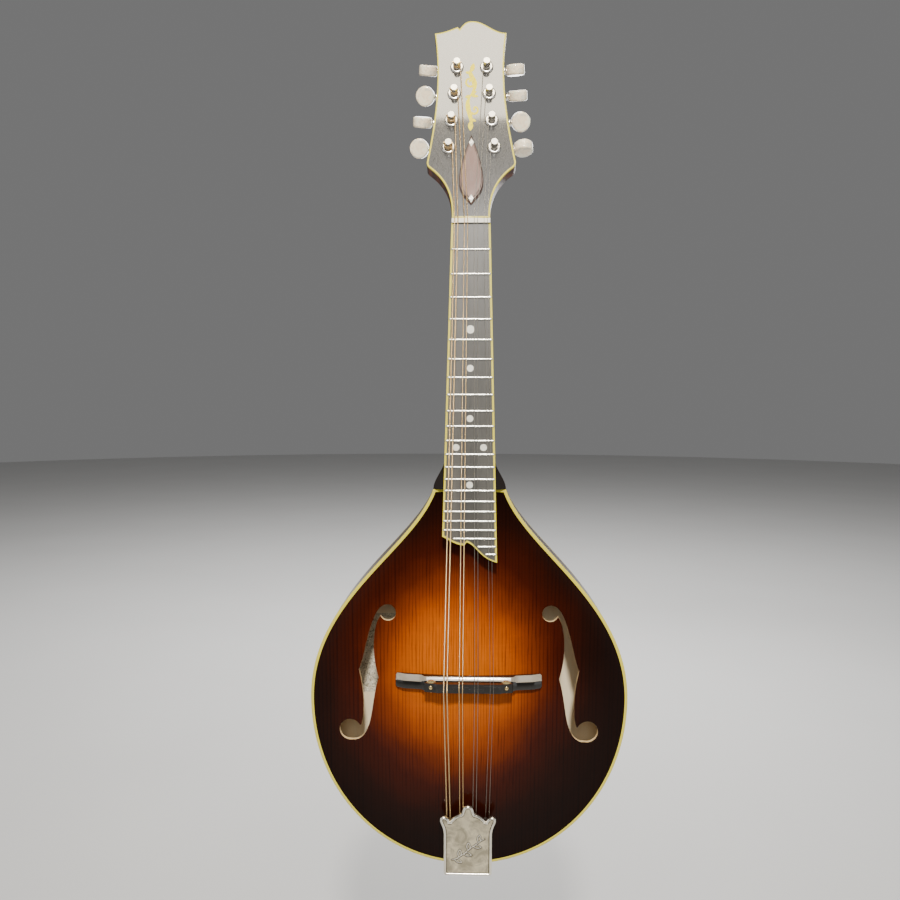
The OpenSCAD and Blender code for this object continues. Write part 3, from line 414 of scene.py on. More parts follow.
_polar = _polar[_order]


def share(xz):
    """How far points lie from the crown, as a share of the way to the plate's edge."""
    q = np.asarray(xz, float) - CROWN
    edge = np.interp(np.arctan2(q[..., 1], q[..., 0]), _polar, _radius, period=2 * math.pi)
    return np.linalg.norm(q, axis=-1) / edge


def arch(s, rise):
    inside = -DROP + (rise + DROP) * (0.5 + 0.5 * np.cos(np.pi * s / FLAT_RIM))
    lift = np.cos(np.pi / 2 * np.clip((s - FLAT_RIM) / (1 - FLAT_RIM), 0, 1))
    return np.where(s < FLAT_RIM, inside, -DROP * lift)


def inner(s, rise):
    flat = smooth((s - 0.86) / 0.08)
    return (4.2 - 0.9 * smooth(s) - arch(s, rise)) * (1 - flat) + LIP * flat


def top_y(x, z):
    return -float(arch(share(np.array([x, z])), TOP_RISE))


# ---- Mesh making ----
def new_object(name, points, faces, sharp=35.0):
    """An object with its normals outwards, smooth but for the edges sharper than the angle."""
    me = bpy.data.meshes.new(name)
    me.from_pydata(np.asarray(points, float).tolist(), [], [tuple(map(int, f)) for f in faces])
    bm = bmesh.new()
    bm.from_mesh(me)
    bmesh.ops.recalc_face_normals(bm, faces=bm.faces)
    for f in bm.faces:
        f.smooth = True
    for e in bm.edges:
        e.smooth = len(e.link_faces) == 2 and e.calc_face_angle(0.0) < math.radians(sharp)
    bm.to_mesh(me)
    bm.free()
    o = bpy.data.objects.new(name, me)
    bpy.context.scene.collection.objects.link(o)
    return o


def piece(name, shape, look, body="root", replaces=(), parts=None, sharp=35.0, at=None):
    """A shown piece. Its shape, (points, faces), is in millimetres in the row frame, or in the frame at."""
    o = new_object(name, np.asarray(shape[0], float) * MM, shape[1], sharp)
    looks = [look] if isinstance(look, str) else look
    for key in looks:
        o.data.materials.append(LOOKS[key])
    if parts is not None:
        o.data.polygons.foreach_set("material_index", np.asarray(parts, np.int32))
    if at is not None:
        m = at.copy()
        m.translation *= MM
        o.matrix_world = m
    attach(o, body)
    if replaces:
        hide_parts(*replaces)
    return o


def bevel(o, width, angle=30.0, weld=False):
    if weld:
        o.modifiers.new("weld", "WELD").merge_threshold = 1e-6
    b = o.modifiers.new("bevel", "BEVEL")
    b.width, b.segments, b.limit_method, b.angle_limit = width * MM, 2, "ANGLE", math.radians(angle)


def thicken(o, thickness, offset):
    thick = o.modifiers.new("thick", "SOLIDIFY")
    thick.thickness, thick.offset = thickness * MM, offset


def carried(matrix, shape):
    """A shape, (points, faces), moved by a matrix."""
    return through(matrix, shape[0]), shape[1]


def merge(*shapes):
    """Several (points, faces) as one."""
    points, faces, base = [], [], 0
    for p, f in shapes:
        points.append(np.asarray(p, float))
        faces += [[i + base for i in face] for face in f]
        base += len(p)
    return np.vstack(points), faces


def loft(rings, closed=False):
    """Skin over rings with the same number of points; closed joins the last ring to the first."""
    n, k = len(rings[0]), len(rings)
    faces = [[r * n + i, r * n + (i + 1) % n, (r + 1) % k * n + (i + 1) % n, (r + 1) % k * n + i]
             for r in range(k if closed else k - 1) for i in range(n)]
    if not closed:
        faces += [list(range(n))[::-1], [(k - 1) * n + i for i in range(n)]]
    return np.vstack(rings), faces


def ring(outline, y):
    """The points of an outline in X and Z at the depth y, one number or one for each point."""
    return np.column_stack([outline[:, 0], np.broadcast_to(y, len(outline)), outline[:, 1]])


def stepped(outline, profile, closed=True):
    """An outline carried through (distance inwards, y) pairs."""
    return loft([ring(inset(outline, d), y) for d, y in profile], closed)


def slab(outline, y0, y1, soft=0.0, matrix=BODY):
    """An outline in X and Z carried from y0 back to y1, its front edge rounded by soft."""
    turns = np.linspace(0, math.pi / 2, 4) if soft else [math.pi / 2]
    profile = [(soft * (1 - math.sin(a)), y0 + soft * (1 - math.cos(a))) for a in turns]
    return carried(matrix, stepped(outline, profile + [(0, y1)], closed=False))


def lathe(profile, count):
    """(radius, y) pairs turned about the local Y axis; a profile that ends where it starts makes a ring."""
    closed = profile[0] == profile[-1]
    return loft([ring(circle((0, 0), r, count), y) for r, y in profile[:-1 if closed else None]], closed)


def tube(path, radius, count=10):
    """A round tube along a path of points."""
    path = np.asarray(path, float)
    directions = unit(np.gradient(path, axis=0))
    ref = np.cross(directions[0], (0.3, 1, 0.2))
    a = around(count)[:, None]
    rings = []
    for p, t in zip(path, directions):
        ref = ref - t * (ref @ t)
        ref /= np.linalg.norm(ref)
        rings.append(p + radius * (np.cos(a) * ref + np.sin(a) * np.cross(t, ref)))
    return loft(rings)


def triangulated(loops, extra):
    """Flat points and triangles over closed loops and the loose points between them."""
    points, edges = [], []
    for l in loops:
        base = len(points)
        points += [Vector(p) for p in l]
        edges += [(base + i, base + (i + 1) % len(l)) for i in range(len(l))]
    points += [Vector(p) for p in extra]
    v, _, f, *_ = delaunay_2d_cdt(points, edges, [], 0, 1e-5)
    return np.array([tuple(p) for p in v]), np.array([t for t in f if len(t) == 3])


def flat_sheet(outline, holes, spacing, cut):
    """Triangles over an outline in X and Z, on a grid fine enough for a curved surface; cut(points) is true
    inside a hole. Returns flat points and triangles."""
    loops = [outline] + holes
    lo, hi = outline.min(0), outline.max(0)
    grid = np.array([(x + (spacing / 2 if k % 2 else 0), z)
                     for k, z in enumerate(np.arange(lo[1], hi[1], spacing * 0.87))
                     for x in np.arange(lo[0], hi[0], spacing)])
    near = np.min([distance(grid, l) for l in loops], axis=0)
    v, f = triangulated(loops, grid[inside(grid, outline) & (near > spacing * 0.45) & ~cut(grid)])
    mid = v[f].mean(1)
    return v, f[inside(mid, outline) & ~cut(mid)]


def inside(p, loop):
    p, a = np.asarray(p, float), np.asarray(loop, float)
    b = np.roll(a, -1, 0)
    hit = np.zeros(len(p), bool)
    for (x0, y0), (x1, y1) in zip(a, b):
        cross = (y0 > p[:, 1]) != (y1 > p[:, 1])
        if abs(y1 - y0) > 1e-12:
            hit ^= cross & (p[:, 0] < (x1 - x0) * (p[:, 1] - y0) / (y1 - y0) + x0)
    return hit


def distance(p, line, closed=True):
    """How far points lie from a line, which is closed into a loop or left open."""
    best = np.full(len(p), 1e9)
    for s, e in zip(line, np.roll(line, -1, 0) if closed else line[1:]):
        d = e - s
        t = np.clip(((p - s) @ d) / max(d @ d, 1e-12), 0, 1)
        best = np.minimum(best, np.linalg.norm(p - s - t[:, None] * d, axis=1))
    return best


def open_edges(f):
    """The edges that only one triangle has, in its direction."""
    edges = dict.fromkeys((int(t[i]), int(t[(i + 1) % 3])) for t in f for i in range(3))
    return [e for e in edges if e[::-1] not in edges]


# ---- Body ----
EYES = [((-65.1, -303.5), 6.6), ((-96.4, -401.9), 8.9)]
STEM = np.vstack([
    chain((-65.6, -297), ((-74.5, -296.8), (-79, -313.5), (-83.6, -332.5), 24),
          ((-85.3, -340.5), (-87, -346.5), (-88.9, -350.8), 9),
          ((-86, -362.5), (-85, -374.5), (-85.4, -382.5), 14),
          ((-85.5, -389.5), (-86.3, -394.5), (-88, -399), 9)),
    [[-96.4, -401.9], [-95.6, -410.7]],
    chain((-92, -410.5), ((-84, -408.5), (-80.4, -398.5), (-78.2, -384.3), 16),
          ((-76.5, -373.5), (-75, -363.5), (-72.6, -356.7), 12),
          ((-75.5, -347.5), (-76.6, -339.5), (-76.5, -330.5), 12),
          ((-76.4, -318.5), (-74.8, -311.5), (-70.6, -305.3), 14)),
    [[-70.6, -305.3], [-65.1, -303.5]]])


def in_f_hole(p):
    hit = np.zeros(len(p), bool)
    for s in (1, -1):
        q = np.asarray(p, float) * (s, 1)
        hit |= inside(q, STEM)
        for centre, r in EYES:
            hit |= np.linalg.norm(q - centre, axis=1) < r - 0.02
    return hit


def plate(name, holes, spacing, cut, y, out, rise, looks, replaced):
    """An arched plate with its rim at the depth y, bulging outwards by the sign of out."""
    v, f = flat_sheet(PLATE, holes, spacing, cut)
    s, n = share(v), len(v)
    wall = [[a + n, b + n, b, a] for a, b in open_edges(f)]
    faces = [list(t) for t in f] + wall + [[i + n for i in t[::-1]] for t in f]
    points = np.vstack([ring(v, y + out * arch(s, rise)), ring(v, y - out * inner(s, rise))])
    piece(name, (through(BODY, points), faces), looks, replaces=[replaced], sharp=50,
          parts=[0] * len(f) + [1] * (len(wall) + len(f)))


def swept(name, profile, look, replaces, parts=None):
    """A profile of (distance in from the rim, y) pairs carried round the body."""
    piece(name, carried(BODY, stepped(RIM, profile)), look, replaces=replaces, parts=parts, sharp=45)


def bodywork():
    loops = [l * (s, 1) for s in (1, -1) for l in [STEM] + [circle(c, r, 56) for c, r in EYES]]
    plate("top_plate", loops, 3.4, in_f_hole, 0, -1, TOP_RISE, ["spruce_top", "raw_spruce"], "soundboard")
    plate("back_shell", [], 4.0, lambda p: np.zeros(len(p), bool), DEPTH, 1, BACK_RISE,
          ["flamed_maple", "inner_maple"], "back_plate")
    bead = [(BINDING, -0.02), (1.7, -0.1), (0.95, -0.08), (0.4, 0.1), (0.1, 0.4), (0, 0.9), (0, LIP),
            (BINDING, LIP)]
    swept("front_binding", bead, "ivoroid", ["top_binding"])
    swept("rear_binding", [(d, DEPTH - y) for d, y in bead], "ivoroid", ["back_binding"])
    swept("sides", [(0, LIP), (0, DEPTH - LIP), (2, DEPTH - LIP), (2, LIP)], ["side_maple", "inner_maple"],
          ["rib_bass", "rib_treble"], parts=[0] * len(RIM) + [1] * (3 * len(RIM)))
    # paper label glued inside the back, under the bass f-hole
    k = 25
    grid = np.array([(x, z) for z in np.linspace(-385, -315, k) for x in np.linspace(-104, -44, k)])
    y = DEPTH - inner(share(grid), BACK_RISE) - 0.25
    corners = [j * k + i for j in range(k - 1) for i in range(k - 1)]
    f = [[i, i + 1, i + k + 1, i + k] for i in corners]
    thicken(piece("label", carried(BODY, (ring(grid, y), f)), "paper"), 0.2, 1.0)


bodywork()


# ---- Neck and headstock ----
ARC = np.radians(np.linspace(0, 180, 49))
NUT_HALF, TAPER = 14.9, 0.0257


def board_half(s):
    return NUT_HALF + TAPER * s


def board_under(z):
    tilt = math.radians(BOARD_TILT)
    return BOARD_Y + z * math.tan(tilt) + BOARD_THICK / math.cos(tilt)


def section(half, y0, wide, y1, deep, z):
    """A flat front and a rounded back at the height z."""
    return [[-half, y0, z], [half, y0, z]] + [
        [wide * math.cos(a), min(y1 + deep * math.sin(a), DEPTH - 2), z] for a in ARC]


def neck_row(z):
    flare = float(smooth((-180 - z) / (JOINT_Z - 180)))
    half, y0 = board_half(-z), board_under(z)
    y1 = (y0 + 1.5) * (1 - flare) + 0.2 * flare
    deep = 14.5 + 2.5 * min(1, -z / 150) + 33 * float(smooth((-150 - z) / (JOINT_Z - 148))) ** 1.5
    return through(BODY, section(half, y0, half + (CORNER - half) * flare, y1, deep, z))


def head_row(h):
    keys = [7, 14, 22, 30, 38]
    half, y0, y1 = (float(np.interp(h, keys, v)) for v in (
        [14.2, 13.6, 12.5, 11, 9], [4, 4, 4.2, 4.5, 5], [17.8, 15.8, 13.6, 12, 10.5]))
    return through(HEAD, section(half, y0, half, y0 + 1, y1 - y0 - 1, h))


head_low = chain((14.6, 0), ((14.3, 18), (19, 31), (32, 41.5), 24),
                 ((34.6, 43.5), (34.9, 45.5), (34.2, 48.5), 8))
HEAD_OUTLINE = np.vstack([
    head_low,
    chain((34.2, 48.5), ((28, 82), (22.3, 118), (27.6, 158.8), 36),
          ((16, 159.2), (11, 169.6), (0, 169.6), 28), ((-5.5, 169.6), (-7.5, 165.9), (-9.8, 162.7), 14)),
    [[-9.8, 162.7]],
    chain((-11.5, 164.5), ((-17, 162.2), (-22, 159.4), (-29.6, 158.8), 10),
          ((-24, 118), (-28.4, 82), (-34.2, 48.5), 36)),
    [[-34.2, 48.5]], head_low[::-1] * (-1, 1)])
VENEER, HEAD_BACK = 1.6, 12.6


def carve(base, steps):
    """base joined with or cut by each (operation, shape)."""
    o = new_object("carving", *base)
    tools = []
    for operation, shape in steps:
        tools.append(new_object("tool", *shape))
        m = o.modifiers.new("cut", "BOOLEAN")
        m.operation, m.object, m.solver = operation, tools[-1], "EXACT"
    bpy.context.view_layer.update()
    me = bpy.data.meshes.new_from_object(o.evaluated_get(bpy.context.evaluated_depsgraph_get()))
    points, faces = [tuple(v.co) for v in me.vertices], [list(p.vertices) for p in me.polygons]
    for x in tools + [o]:
        bpy.data.objects.remove(x)
    return points, faces


def neck():
    stations = [3.2, 0] + list(np.arange(-6, -150, -6.0)) + list(np.arange(-150, -JOINT_Z, -2.5)) + [-JOINT_Z]
    shaft = loft([head_row(h) for h in np.linspace(38, 7, 12)] + [neck_row(z) for z in stations])
    back = [(0, VENEER), (0, HEAD_BACK - 0.9), (0.26, HEAD_BACK - 0.28), (0.9, HEAD_BACK)]
    head = carried(HEAD, stepped(HEAD_OUTLINE, back, closed=False))
    holes = merge(*[carried(tuner(n), lathe([(4.14, -4), (4.14, 18)], 40)) for n in range(1, 9)])
    pocket = slab([[-4.2, 19], [4.2, 19], [4.2, 39], [-4.2, 39]], -1, 11.2, 0, HEAD)
    drilled = carried(BOARD @ moved(13, 0, -90), lathe([(2.6, -35), (2.6, 190)], 28))
    cuts = [("DIFFERENCE", shape) for shape in (holes, pocket, drilled)]
    piece("neck_wood", carve(shaft, [("UNION", head)] + cuts), "neck_maple", replaces=["neck"], sharp=32)
    # dark riser that carries the end of the fretboard over the body
    top, end, front = -203.6, -238, -1.4
    rise = [(board_under(top) + 0.02, top), (front, top), (front, -231), (board_under(end) + 0.02, end)]
    riser = carried(BODY, loft([[(x, y, z) for y, z in rise] for x in (-18, 18)]))
    bevel(piece("board_riser", riser, "veneer"), 0.4)
    half = chain((13.5, -JOINT_Z), ((12.5, -197), (7, -190.5), (0, -190.5), 22),
                 ((-7, -190.5), (-12.5, -197), (-13.5, -JOINT_Z), 22))
    cap = np.vstack([half, [[-13.5, -JOINT_Z]]])
    shape = slab(cap, -DEPTH, 2 - DEPTH, 0.5, BODY @ Matrix.Diagonal((1, -1, 1, 1)))
    piece("heel_plate", shape, "ebony", replaces=["heel_cap"])


def ribbon(path, widths):
    """A tapering band along a flat path, as an outline."""
    d = unit(np.gradient(path, axis=0))
    w = np.interp(np.linspace(0, 1, len(path)), np.linspace(0, 1, len(widths)), widths)[:, None] / 2
    out = left_of(d) * w
    return np.vstack([path - out, (path + out)[::-1]])


def leaf(a, b, w):
    """A pointed leaf from a to b, about 1.5 w wide."""
    a, b = np.array(a, float), np.array(b, float)
    d = b - a
    out = np.array([-d[1], d[0]]) / np.linalg.norm(d) * w
    first, second = a + 0.3 * d, b - 0.35 * d
    return chain(a, (first - out, second - out, b, 10), (second + out, first + out, a, 10))


def vine(z0):
    """Slender vine with curled tendrils and leaves round the height z0, as outlines."""
    bands = [([[1.0, 25], [-6.5, 19.5], [8.5, 14], [-0.6, 1.5]], [0.8, 2.7, 3.1, 0.9]),
             ([[-0.6, 1.5], [-7.0, -8], [1.5, -17], [-0.4, -26]], [0.9, 3.0, 2.5, 0.9]),
             ([[2.6, 11.5], [0.5, 6.5], [-5.8, 9.5], [-4.2, 14]], [0.6, 1.5, 1.3, 1.0]),
             ([[-4.2, 14], [-3.2, 16.8], [-0.2, 15.6], [-1.6, 13.4]], [1.0, 1.1, 1.0, 0.8]),
             ([[-2.9, -10], [-1, -16.5], [5.6, -16], [4.8, -10.8]], [0.6, 1.5, 1.3, 1.0]),
             ([[4.8, -10.8], [4.2, -8.0], [1.2, -8.6], [2.2, -11]], [1.0, 1.1, 1.0, 0.8])]
    leaves = [((-0.4, 21.5), (1.6, 29.5), 2.0), ((-1.4, 20.5), (-5, 21.8), 1.3),
              ((-0.6, -21), (-0.8, -29.5), 2.2), ((-0.4, -19.5), (3.6, -21.2), 1.3),
              ((-0.6, 1.2), (5.4, 0.2), 1.5), ((-0.2, 2), (4, 5), 1.2), ((-0.8, 1), (-5.2, -0.6), 1.4)]
    found = [ribbon(whole(c), np.array(w) * 1.3) for c, w in bands]
    found += [circle(c, 0.8, 18) for c in ((-1.5, 13.5), (2.1, -11.1))]
    found += [leaf(a, b, w * 1.2) for a, b, w in leaves]
    return [o + (0, z0) for o in found]


def headstock():
    face = slab(inset(HEAD_OUTLINE, 1.3), 0.0, VENEER, 0, HEAD)
    piece("head_face", face, "veneer", replaces=["headstock_veneer"])
    edge = [(1.3, 0.0), (0.35, 0.0), (0.1, 0.1), (0, 0.35), (0, VENEER), (1.3, VENEER)]
    binding = carried(HEAD, stepped(HEAD_OUTLINE, edge))
    piece("head_binding", binding, "ivoroid", replaces=["headstock_binding"])
    inlay = [slab(o, -0.05 - 0.004 * k, 0.8, 0, HEAD) for k, o in enumerate(vine(102.5))]
    piece("vine_inlay", merge(*inlay), "inlay_pearl", replaces=["headstock_inlay"])
    half = chain((0, 10.6), ((4.5, 16), (9.4, 20), (9.4, 29.5), 26), ((9.4, 41), (5, 55), (0, 68.6), 26))
    cover = np.vstack([half, [[0, 68.6]], half[:0:-1] * (-1, 1)])
    piece("rod_cover", slab(cover, -1.6, 0, 0.2, HEAD), "rosewood", replaces=["truss_rod_cover"], sharp=10)
    lines = []
    for out, thin in ((0.15, 0.6), (1.3, 0.35)):
        pair = shrunk(cover, out), shrunk(cover, out + thin)
        band = [ring(pair[0], -1.7), ring(pair[1], -1.7), ring(pair[1], -1.3), ring(pair[0], -1.3)]
        lines.append(loft(band, closed=True))
    piece("cover_lines", carried(HEAD, merge(*lines)), "matt_black")
    gems = [np.array([[0, z - 3.6], [2.0, z], [0, z + 3.6], [-2.0, z]]) for z in (15.1, 62.1)]
    piece("cover_diamonds", merge(*[slab(gem, -1.74, -1.2, 0, HEAD) for gem in gems]), "pearl")


def shrunk(outline, d):
    """An outline with points at both ends drawn in evenly by about d."""
    mid = (outline.max(0) + outline.min(0)) / 2
    size = (outline.max(0) - outline.min(0)) / 2
    return mid + (outline - mid) * (1 - d / size[0], 1 - 2.4 * d / size[1])


neck()
headstock()


# ---- Fretboard ----
SCALE_LENGTH = 352.4


def fret_z(n):
    return -SCALE_LENGTH * (1 - 2 ** (-n / 12))


def fret_left(n):
    return -board_half(-fret_z(n)) + 0.3 if n < 20 else {20: -13.0, 21: 6.0, 22: 12.0}[n]


def frets():
    shapes = []
    crown = np.linspace(0, math.pi, 11)
    ends = [(0, 0.3), (0.12, 0.62), (0.35, 0.86), (0.7, 0.97), (1.1, 1)]
    for n in range(1, 23):
        z = fret_z(n)
        left, right = fret_left(n), board_half(-z) - 0.3
        rings = []
        for x, h in [(left + d, h) for d, h in ends] + [(right - d, h) for d, h in ends[::-1]]:
            w = 0.85 * (0.6 + 0.4 * h)
            top = [(x, -h * math.sin(a), z - w * math.cos(a)) for a in crown]
            rings.append([(x, 0.02, z - w)] + top + [(x, 0.02, z + w)])
        shapes.append(loft(rings))
    piece("fret_wires", carried(BOARD, merge(*shapes)), "fret_metal", replaces=["frets"], sharp=50)


frets()


# ---- Bridge ----
BRIDGE_Z, BASE_TOP = -357.0, -16.2
FOOT_HALF, STUD_X = 58.5, 29.5


def step_down(x):
    """0 on the raised middle of the base and 1 on its wings."""
    return float(smooth((abs(x) - 34.6) / 3.4))


def base_front(x):
    wing = top_y(x, BRIDGE_Z) - 5.4 * (1 - 0.35 * float(smooth((abs(x) - 50) / 8)))
    return BASE_TOP * (1 - step_down(x)) + wing * step_down(x)


def bridge():
    tips = [s * v for s in (1, -1) for v in (58.35, 58.1, 57.7)]
    rings = []
    for x in sorted(set(np.round(np.concatenate([np.linspace(-FOOT_HALF, FOOT_HALF, 79), tips]), 3))):
        end = max(0.0, (abs(x) - 56.3) / 2.2)
        w = 5.6 - 1.4 * end ** 2.5
        y0 = base_front(x) + 0.8 * end ** 2.5
        lower = [top_y(x, BRIDGE_Z + e) - 0.02 for e in (-w, w)]
        r = min(0.9, w * 0.5)
        turns = np.radians([0, 22, 45, 68, 90])
        front = [(y0 + r * (1 - math.sin(a)), -w + r * (1 - math.cos(a))) for a in turns]
        k = 0.6 + 0.4 * step_down(x)
        slope = [(0, 4.6), (0.1, 4.35), (2.32, 0.8), (2.7, 0.25), (3.2, 0)]
        slope = [(y0 + k * a, w - k * b) for a, b in slope]
        outline = [(lower[0], -w)] + front + slope + [(lower[1], w)]
        rings.append([(x, y, BRIDGE_Z + z) for y, z in outline])
    foot = piece("bridge_foot", carried(BODY, loft(rings)), ["ebony", "ebony_painted_highlight"], sharp=50,
                 replaces=["bridge_base"])
    # faces turned up and forward get the light grey ebony, a painted highlight where light from above catches
    # the foot's slope
    for face in foot.data.polygons:
        face.material_index = int(face.normal.z > 0.3 and face.normal.y < -0.3)
    # fine-threaded studs
    lo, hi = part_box("bridge_studs")
    y0, y1 = lo.y / MM - EDGE_Y, hi.y / MM - EDGE_Y
    pitch, tip = 0.4, 0.01
    count = int((y1 - y0 - 0.6) / pitch)
    threads = [(1.28 if k % 2 else 1.5, y0 + 0.3 + pitch * k) for k in range(count)]
    stud = lathe([(tip, y0), (1.1, y0)] + threads + [(1.2, y1), (tip, y1)], 28)
    studs = [carried(BODY @ Matrix.Translation((x, 0, BRIDGE_Z)), stud) for x in (-STUD_X, STUD_X)]
    piece("threaded_studs", merge(*studs), "brass", replaces=["bridge_studs"], sharp=60)


bridge()


# ---- Tailpiece ----
def cover_outline():
    """The cover's outline, its long straight edges with points of their own."""
    half = np.vstack([
        [[18.4, -TAIL_Z - 2.8], [19.6, -TAIL_Z - 1.3]],
        chain((19.6, -486), ((19.6, -479), (22.6, -477), (22.8, -473.2), 14),
              ((22.8, -469.2), (17.2, -468.8), (14.6, -474.2), 18),
              ((11.4, -470.4), (9, -468.4), (5.4, -467.8), 12),
              ((4.4, -465.2), (4.6, -461.4), (0, -460.6), 16))])
    outline = np.vstack([half, [[0, -460.6]], half[::-1] * (-1, 1)])
    dense = []
    for a, b in zip(outline, np.roll(outline, -1, 0)):
        k = max(1, int(np.linalg.norm(b - a) / 1.2))
        dense += [a + (b - a) * i / k for i in range(k)]
    return np.array(dense)


def cover_points(outline, lines):
    """Loose points for the cover's mesh: rows along its rim and its engraving, and a grid between them."""
    lo, hi = outline.min(0), outline.max(0)
    grid = np.array([(x, z) for z in np.arange(lo[1], hi[1], 0.62) for x in np.arange(lo[0], hi[0], 0.62)])
    grid = grid[inside(grid, outline)]
    rows = [grid[distance(grid, outline) > 2.5]]
    for d in (0.14, 0.32, 0.5, 0.7, 0.95, 1.25, 1.55, 1.8, 1.98, 2.2):
        o = inset(outline, d)
        rows.append(o[inside(o, outline) & (distance(o, outline) > d - 0.04)])
    for line in lines:
        across = left_of(unit(np.gradient(line, axis=0)))
        near = np.vstack([line + w * across for w in (-0.85, -0.5, -0.25, 0, 0.25, 0.5, 0.85)])
        rows[0] = rows[0][distance(rows[0], line, closed=False) > 0.7]
        rows.append(near[distance(near, outline) > 2.4])
    return np.vstack(rows)


def tail_cover():
    outline, lines = cover_outline(), sprig()
    v, f = triangulated([outline], cover_points(outline, lines))
    f = f[inside(v[f].mean(1), outline)]
    d = distance(v, outline)
    groove = np.min([distance(v, l, closed=False) for l in lines], axis=0)
    # front face: rounded edge, slight crown, raised bead round the panel and engraved lines
    y = -12.3 + 0.5 * (1 - np.sqrt(1 - (1 - np.clip(d / 0.5, 0, 1)) ** 2)) - 0.5 * smooth((d - 2.6) / 11)
    y -= 0.66 * np.sqrt(np.clip(1 - ((d - 1.25) / 0.78) ** 2, 0, 1))
    y += 0.2 * (1 - smooth(groove / 0.6)) * (d > 2.6)
    rim, cut = d[f].mean(1), groove[f].mean(1)
    panel = rim > 2.6
    # painted highlight along the bottom of each engraved line and painted shade on its flanks; the dark look
    # also makes a band just inside the raised bead
    dark = (rim < 2.55) | (panel & (cut > 0.34) & (cut < 0.8))
    parts = np.select([rim < 1.95, dark, panel & (cut < 0.34)], [0, 2, 0], 1).tolist()
    # side walls: a short lip where the strings run out, full depth behind
    after = dict(open_edges(f))
    loop, a = [], next(iter(after))
    while a not in loop:
        loop.append(a)
        a = after[a]
    low = np.where(v[loop][:, 1] > -483, -9.6, -1.2)
    base, k = len(v), len(loop)
    wall = [[base + i, base + (i + 1) % k, loop[(i + 1) % k], loop[i]] for i in range(k)]
    points = through(BODY, np.vstack([ring(v, y), ring(v[loop], low)]))
    o = piece("tail_cover_plate", (points, [list(t) for t in f] + wall),
              ["satin_nickel", "panel_nickel", "tarnish"], body="tail_cover", replaces=["tailpiece_cover"],
              parts=parts + [0] * k, sharp=40)
    if sum(p.normal.y * p.area for p in o.data.polygons) > 0:
        o.data.flip_normals()
    thicken(o, 0.9, -1.0)


def sprig():
    """A leafy twig laid diagonally across the cover, as lines to engrave."""
    stem = whole([[-13, -507], [-5, -506], [3, -494], [13.5, -489]], 40)
    lines = [stem]
    for k, i in enumerate(range(4, 40, 6)):
        d = stem[i + 1] - stem[i]
        a = math.atan2(d[1], d[0]) + math.radians(50 if k % 2 else -50)
        along, across = np.array([math.cos(a), math.sin(a)]), np.array([-math.sin(a), math.cos(a)])
        for w in (2.0, -2.0):
            steps = ((0, 0), (2, w), (4.2, w * 0.9), (6.4, 0))
            lines.append(whole([stem[i] + s * along + t * across for s, t in steps], 10))
    return lines


def strap_button():
    profile = [(0.01, 500), (3.95, 500), (3.95, 519.4), (5.2, 519.5), (5.35, 520.1), (4.6, 521.3),
               (4.2, 523.2), (4.4, 524.8), (5.6, 525.35), (6.3, 525.7), (6.5, 526.4), (6.5, 527.2),
               (6.2, 527.9), (5.4, 528.35), (3.0, 528.5), (0.01, 528.5)]
    shape = carried(moved(EDGE_Y + 20, 0, -90), lathe(profile, 48))
    piece("end_button", shape, "ivory_plastic", replaces=["strap_button"], sharp=50)


tail_cover()
strap_button()


# ---- Strings ----
STRING_R = [0.51, 0.33, 0.19, 0.14]
CREST = [-1.6, 0.4, -1.2, 1.0]
TURNS = [2.6, 3.3, 4.4, 5.4]
POST_R = 2.5
BETWEEN = [(10.4, 2.8), (12.05, 2.6), (7.5, 2.5)]   # courses and pairs at the tailpiece, saddle and nut


def strings():
    for c in range(4):
        for k in (0, 1):
            s = -1 if c < 2 else 1
            n = 2 * c + k + 1 if c < 2 else 12 - 2 * c - k
            r = STRING_R[c]
            look = "bronze" if c < 2 else "plain_wire"
            tail_x, saddle_x, nut_x = ((c - 1.5) * course + (k - 0.5) * pair for course, pair in BETWEEN)
            z, reach = BRIDGE_Z + CREST[c], 0.92 + r
            hook = [(tail_x - reach * math.cos(a), -5.4, -488.2 + reach * math.sin(a))
                    for a in np.radians([60, 20, -20, -60, -100, -140, -180, -215])]
            crest = [(saddle_x, y, z + e) for y, e in ((-27.4, -1.2), (-27.46, 0), (-27.4, 1.2))]
            slot = [(nut_x, y - r, e) for y, e in ((-1.3, 0.2), (-1.32, 1.7), (-1.3, 3.2))]
            post = [(-s * (POST_R + r + gap), -5.2, e) for gap, e in ((0.1, -1.2), (0.04, 0.4))]
            path = np.vstack([through(BODY, hook + [(tail_x, -5.4, -485.4)] + crest), through(BOARD, slot),
                              through(tuner(n), post)])
            replaced = {(0, 0): ["wound_strings"], (2, 0): ["plain_strings"]}.get((c, k), [])
            piece(f"string_{2 * c + k + 1}", tube(refined(path), r, 12), look, replaces=replaced, sharp=60)
            # turns of string round the post, and its end in the post's hole
            a = np.linspace(0, TURNS[c] * 2 * math.pi, int(TURNS[c] * 28))
            wide = POST_R + 0.02 + r
            y = -5.2 + a / (2 * math.pi) * 2.06 * r
            coil = np.column_stack([-s * wide * np.cos(a), y, wide * np.sin(a)])
            end = [(x, -6.4, 0) for x in (-3.9, -2, 2, 3.7)]
            shape = carried(tuner(n), merge(tube(coil, r), tube(end, r)))
            piece(f"turns_{n}", shape, look, body=f"post_{n}", sharp=60)


def refined(path):
    """Long spans cut into shorter ones, so the tube bends only at its bends."""
    out = [path[0]]
    for a, b in zip(path[:-1], path[1:]):
        far = np.linalg.norm(b - a)
        if far > 6:
            out += [a + (b - a) * 0.6 / far, b - (b - a) * 0.6 / far]
        out.append(b)
    return np.array(out)


strings()


# ---- Tuners ----
WORM_Y, GAP, PITCH = 16.8, 8.0, 2 * math.pi * 5.6 / 15
THREAD_R, CORE_R = 3.0, 1.7


def x_ring(x, r):
    """A ring round the X axis, of one radius or one for each of its 40 points."""
    phi = around(40)
    return np.column_stack([np.full(40, x), r * np.cos(phi), r * np.sin(phi)])


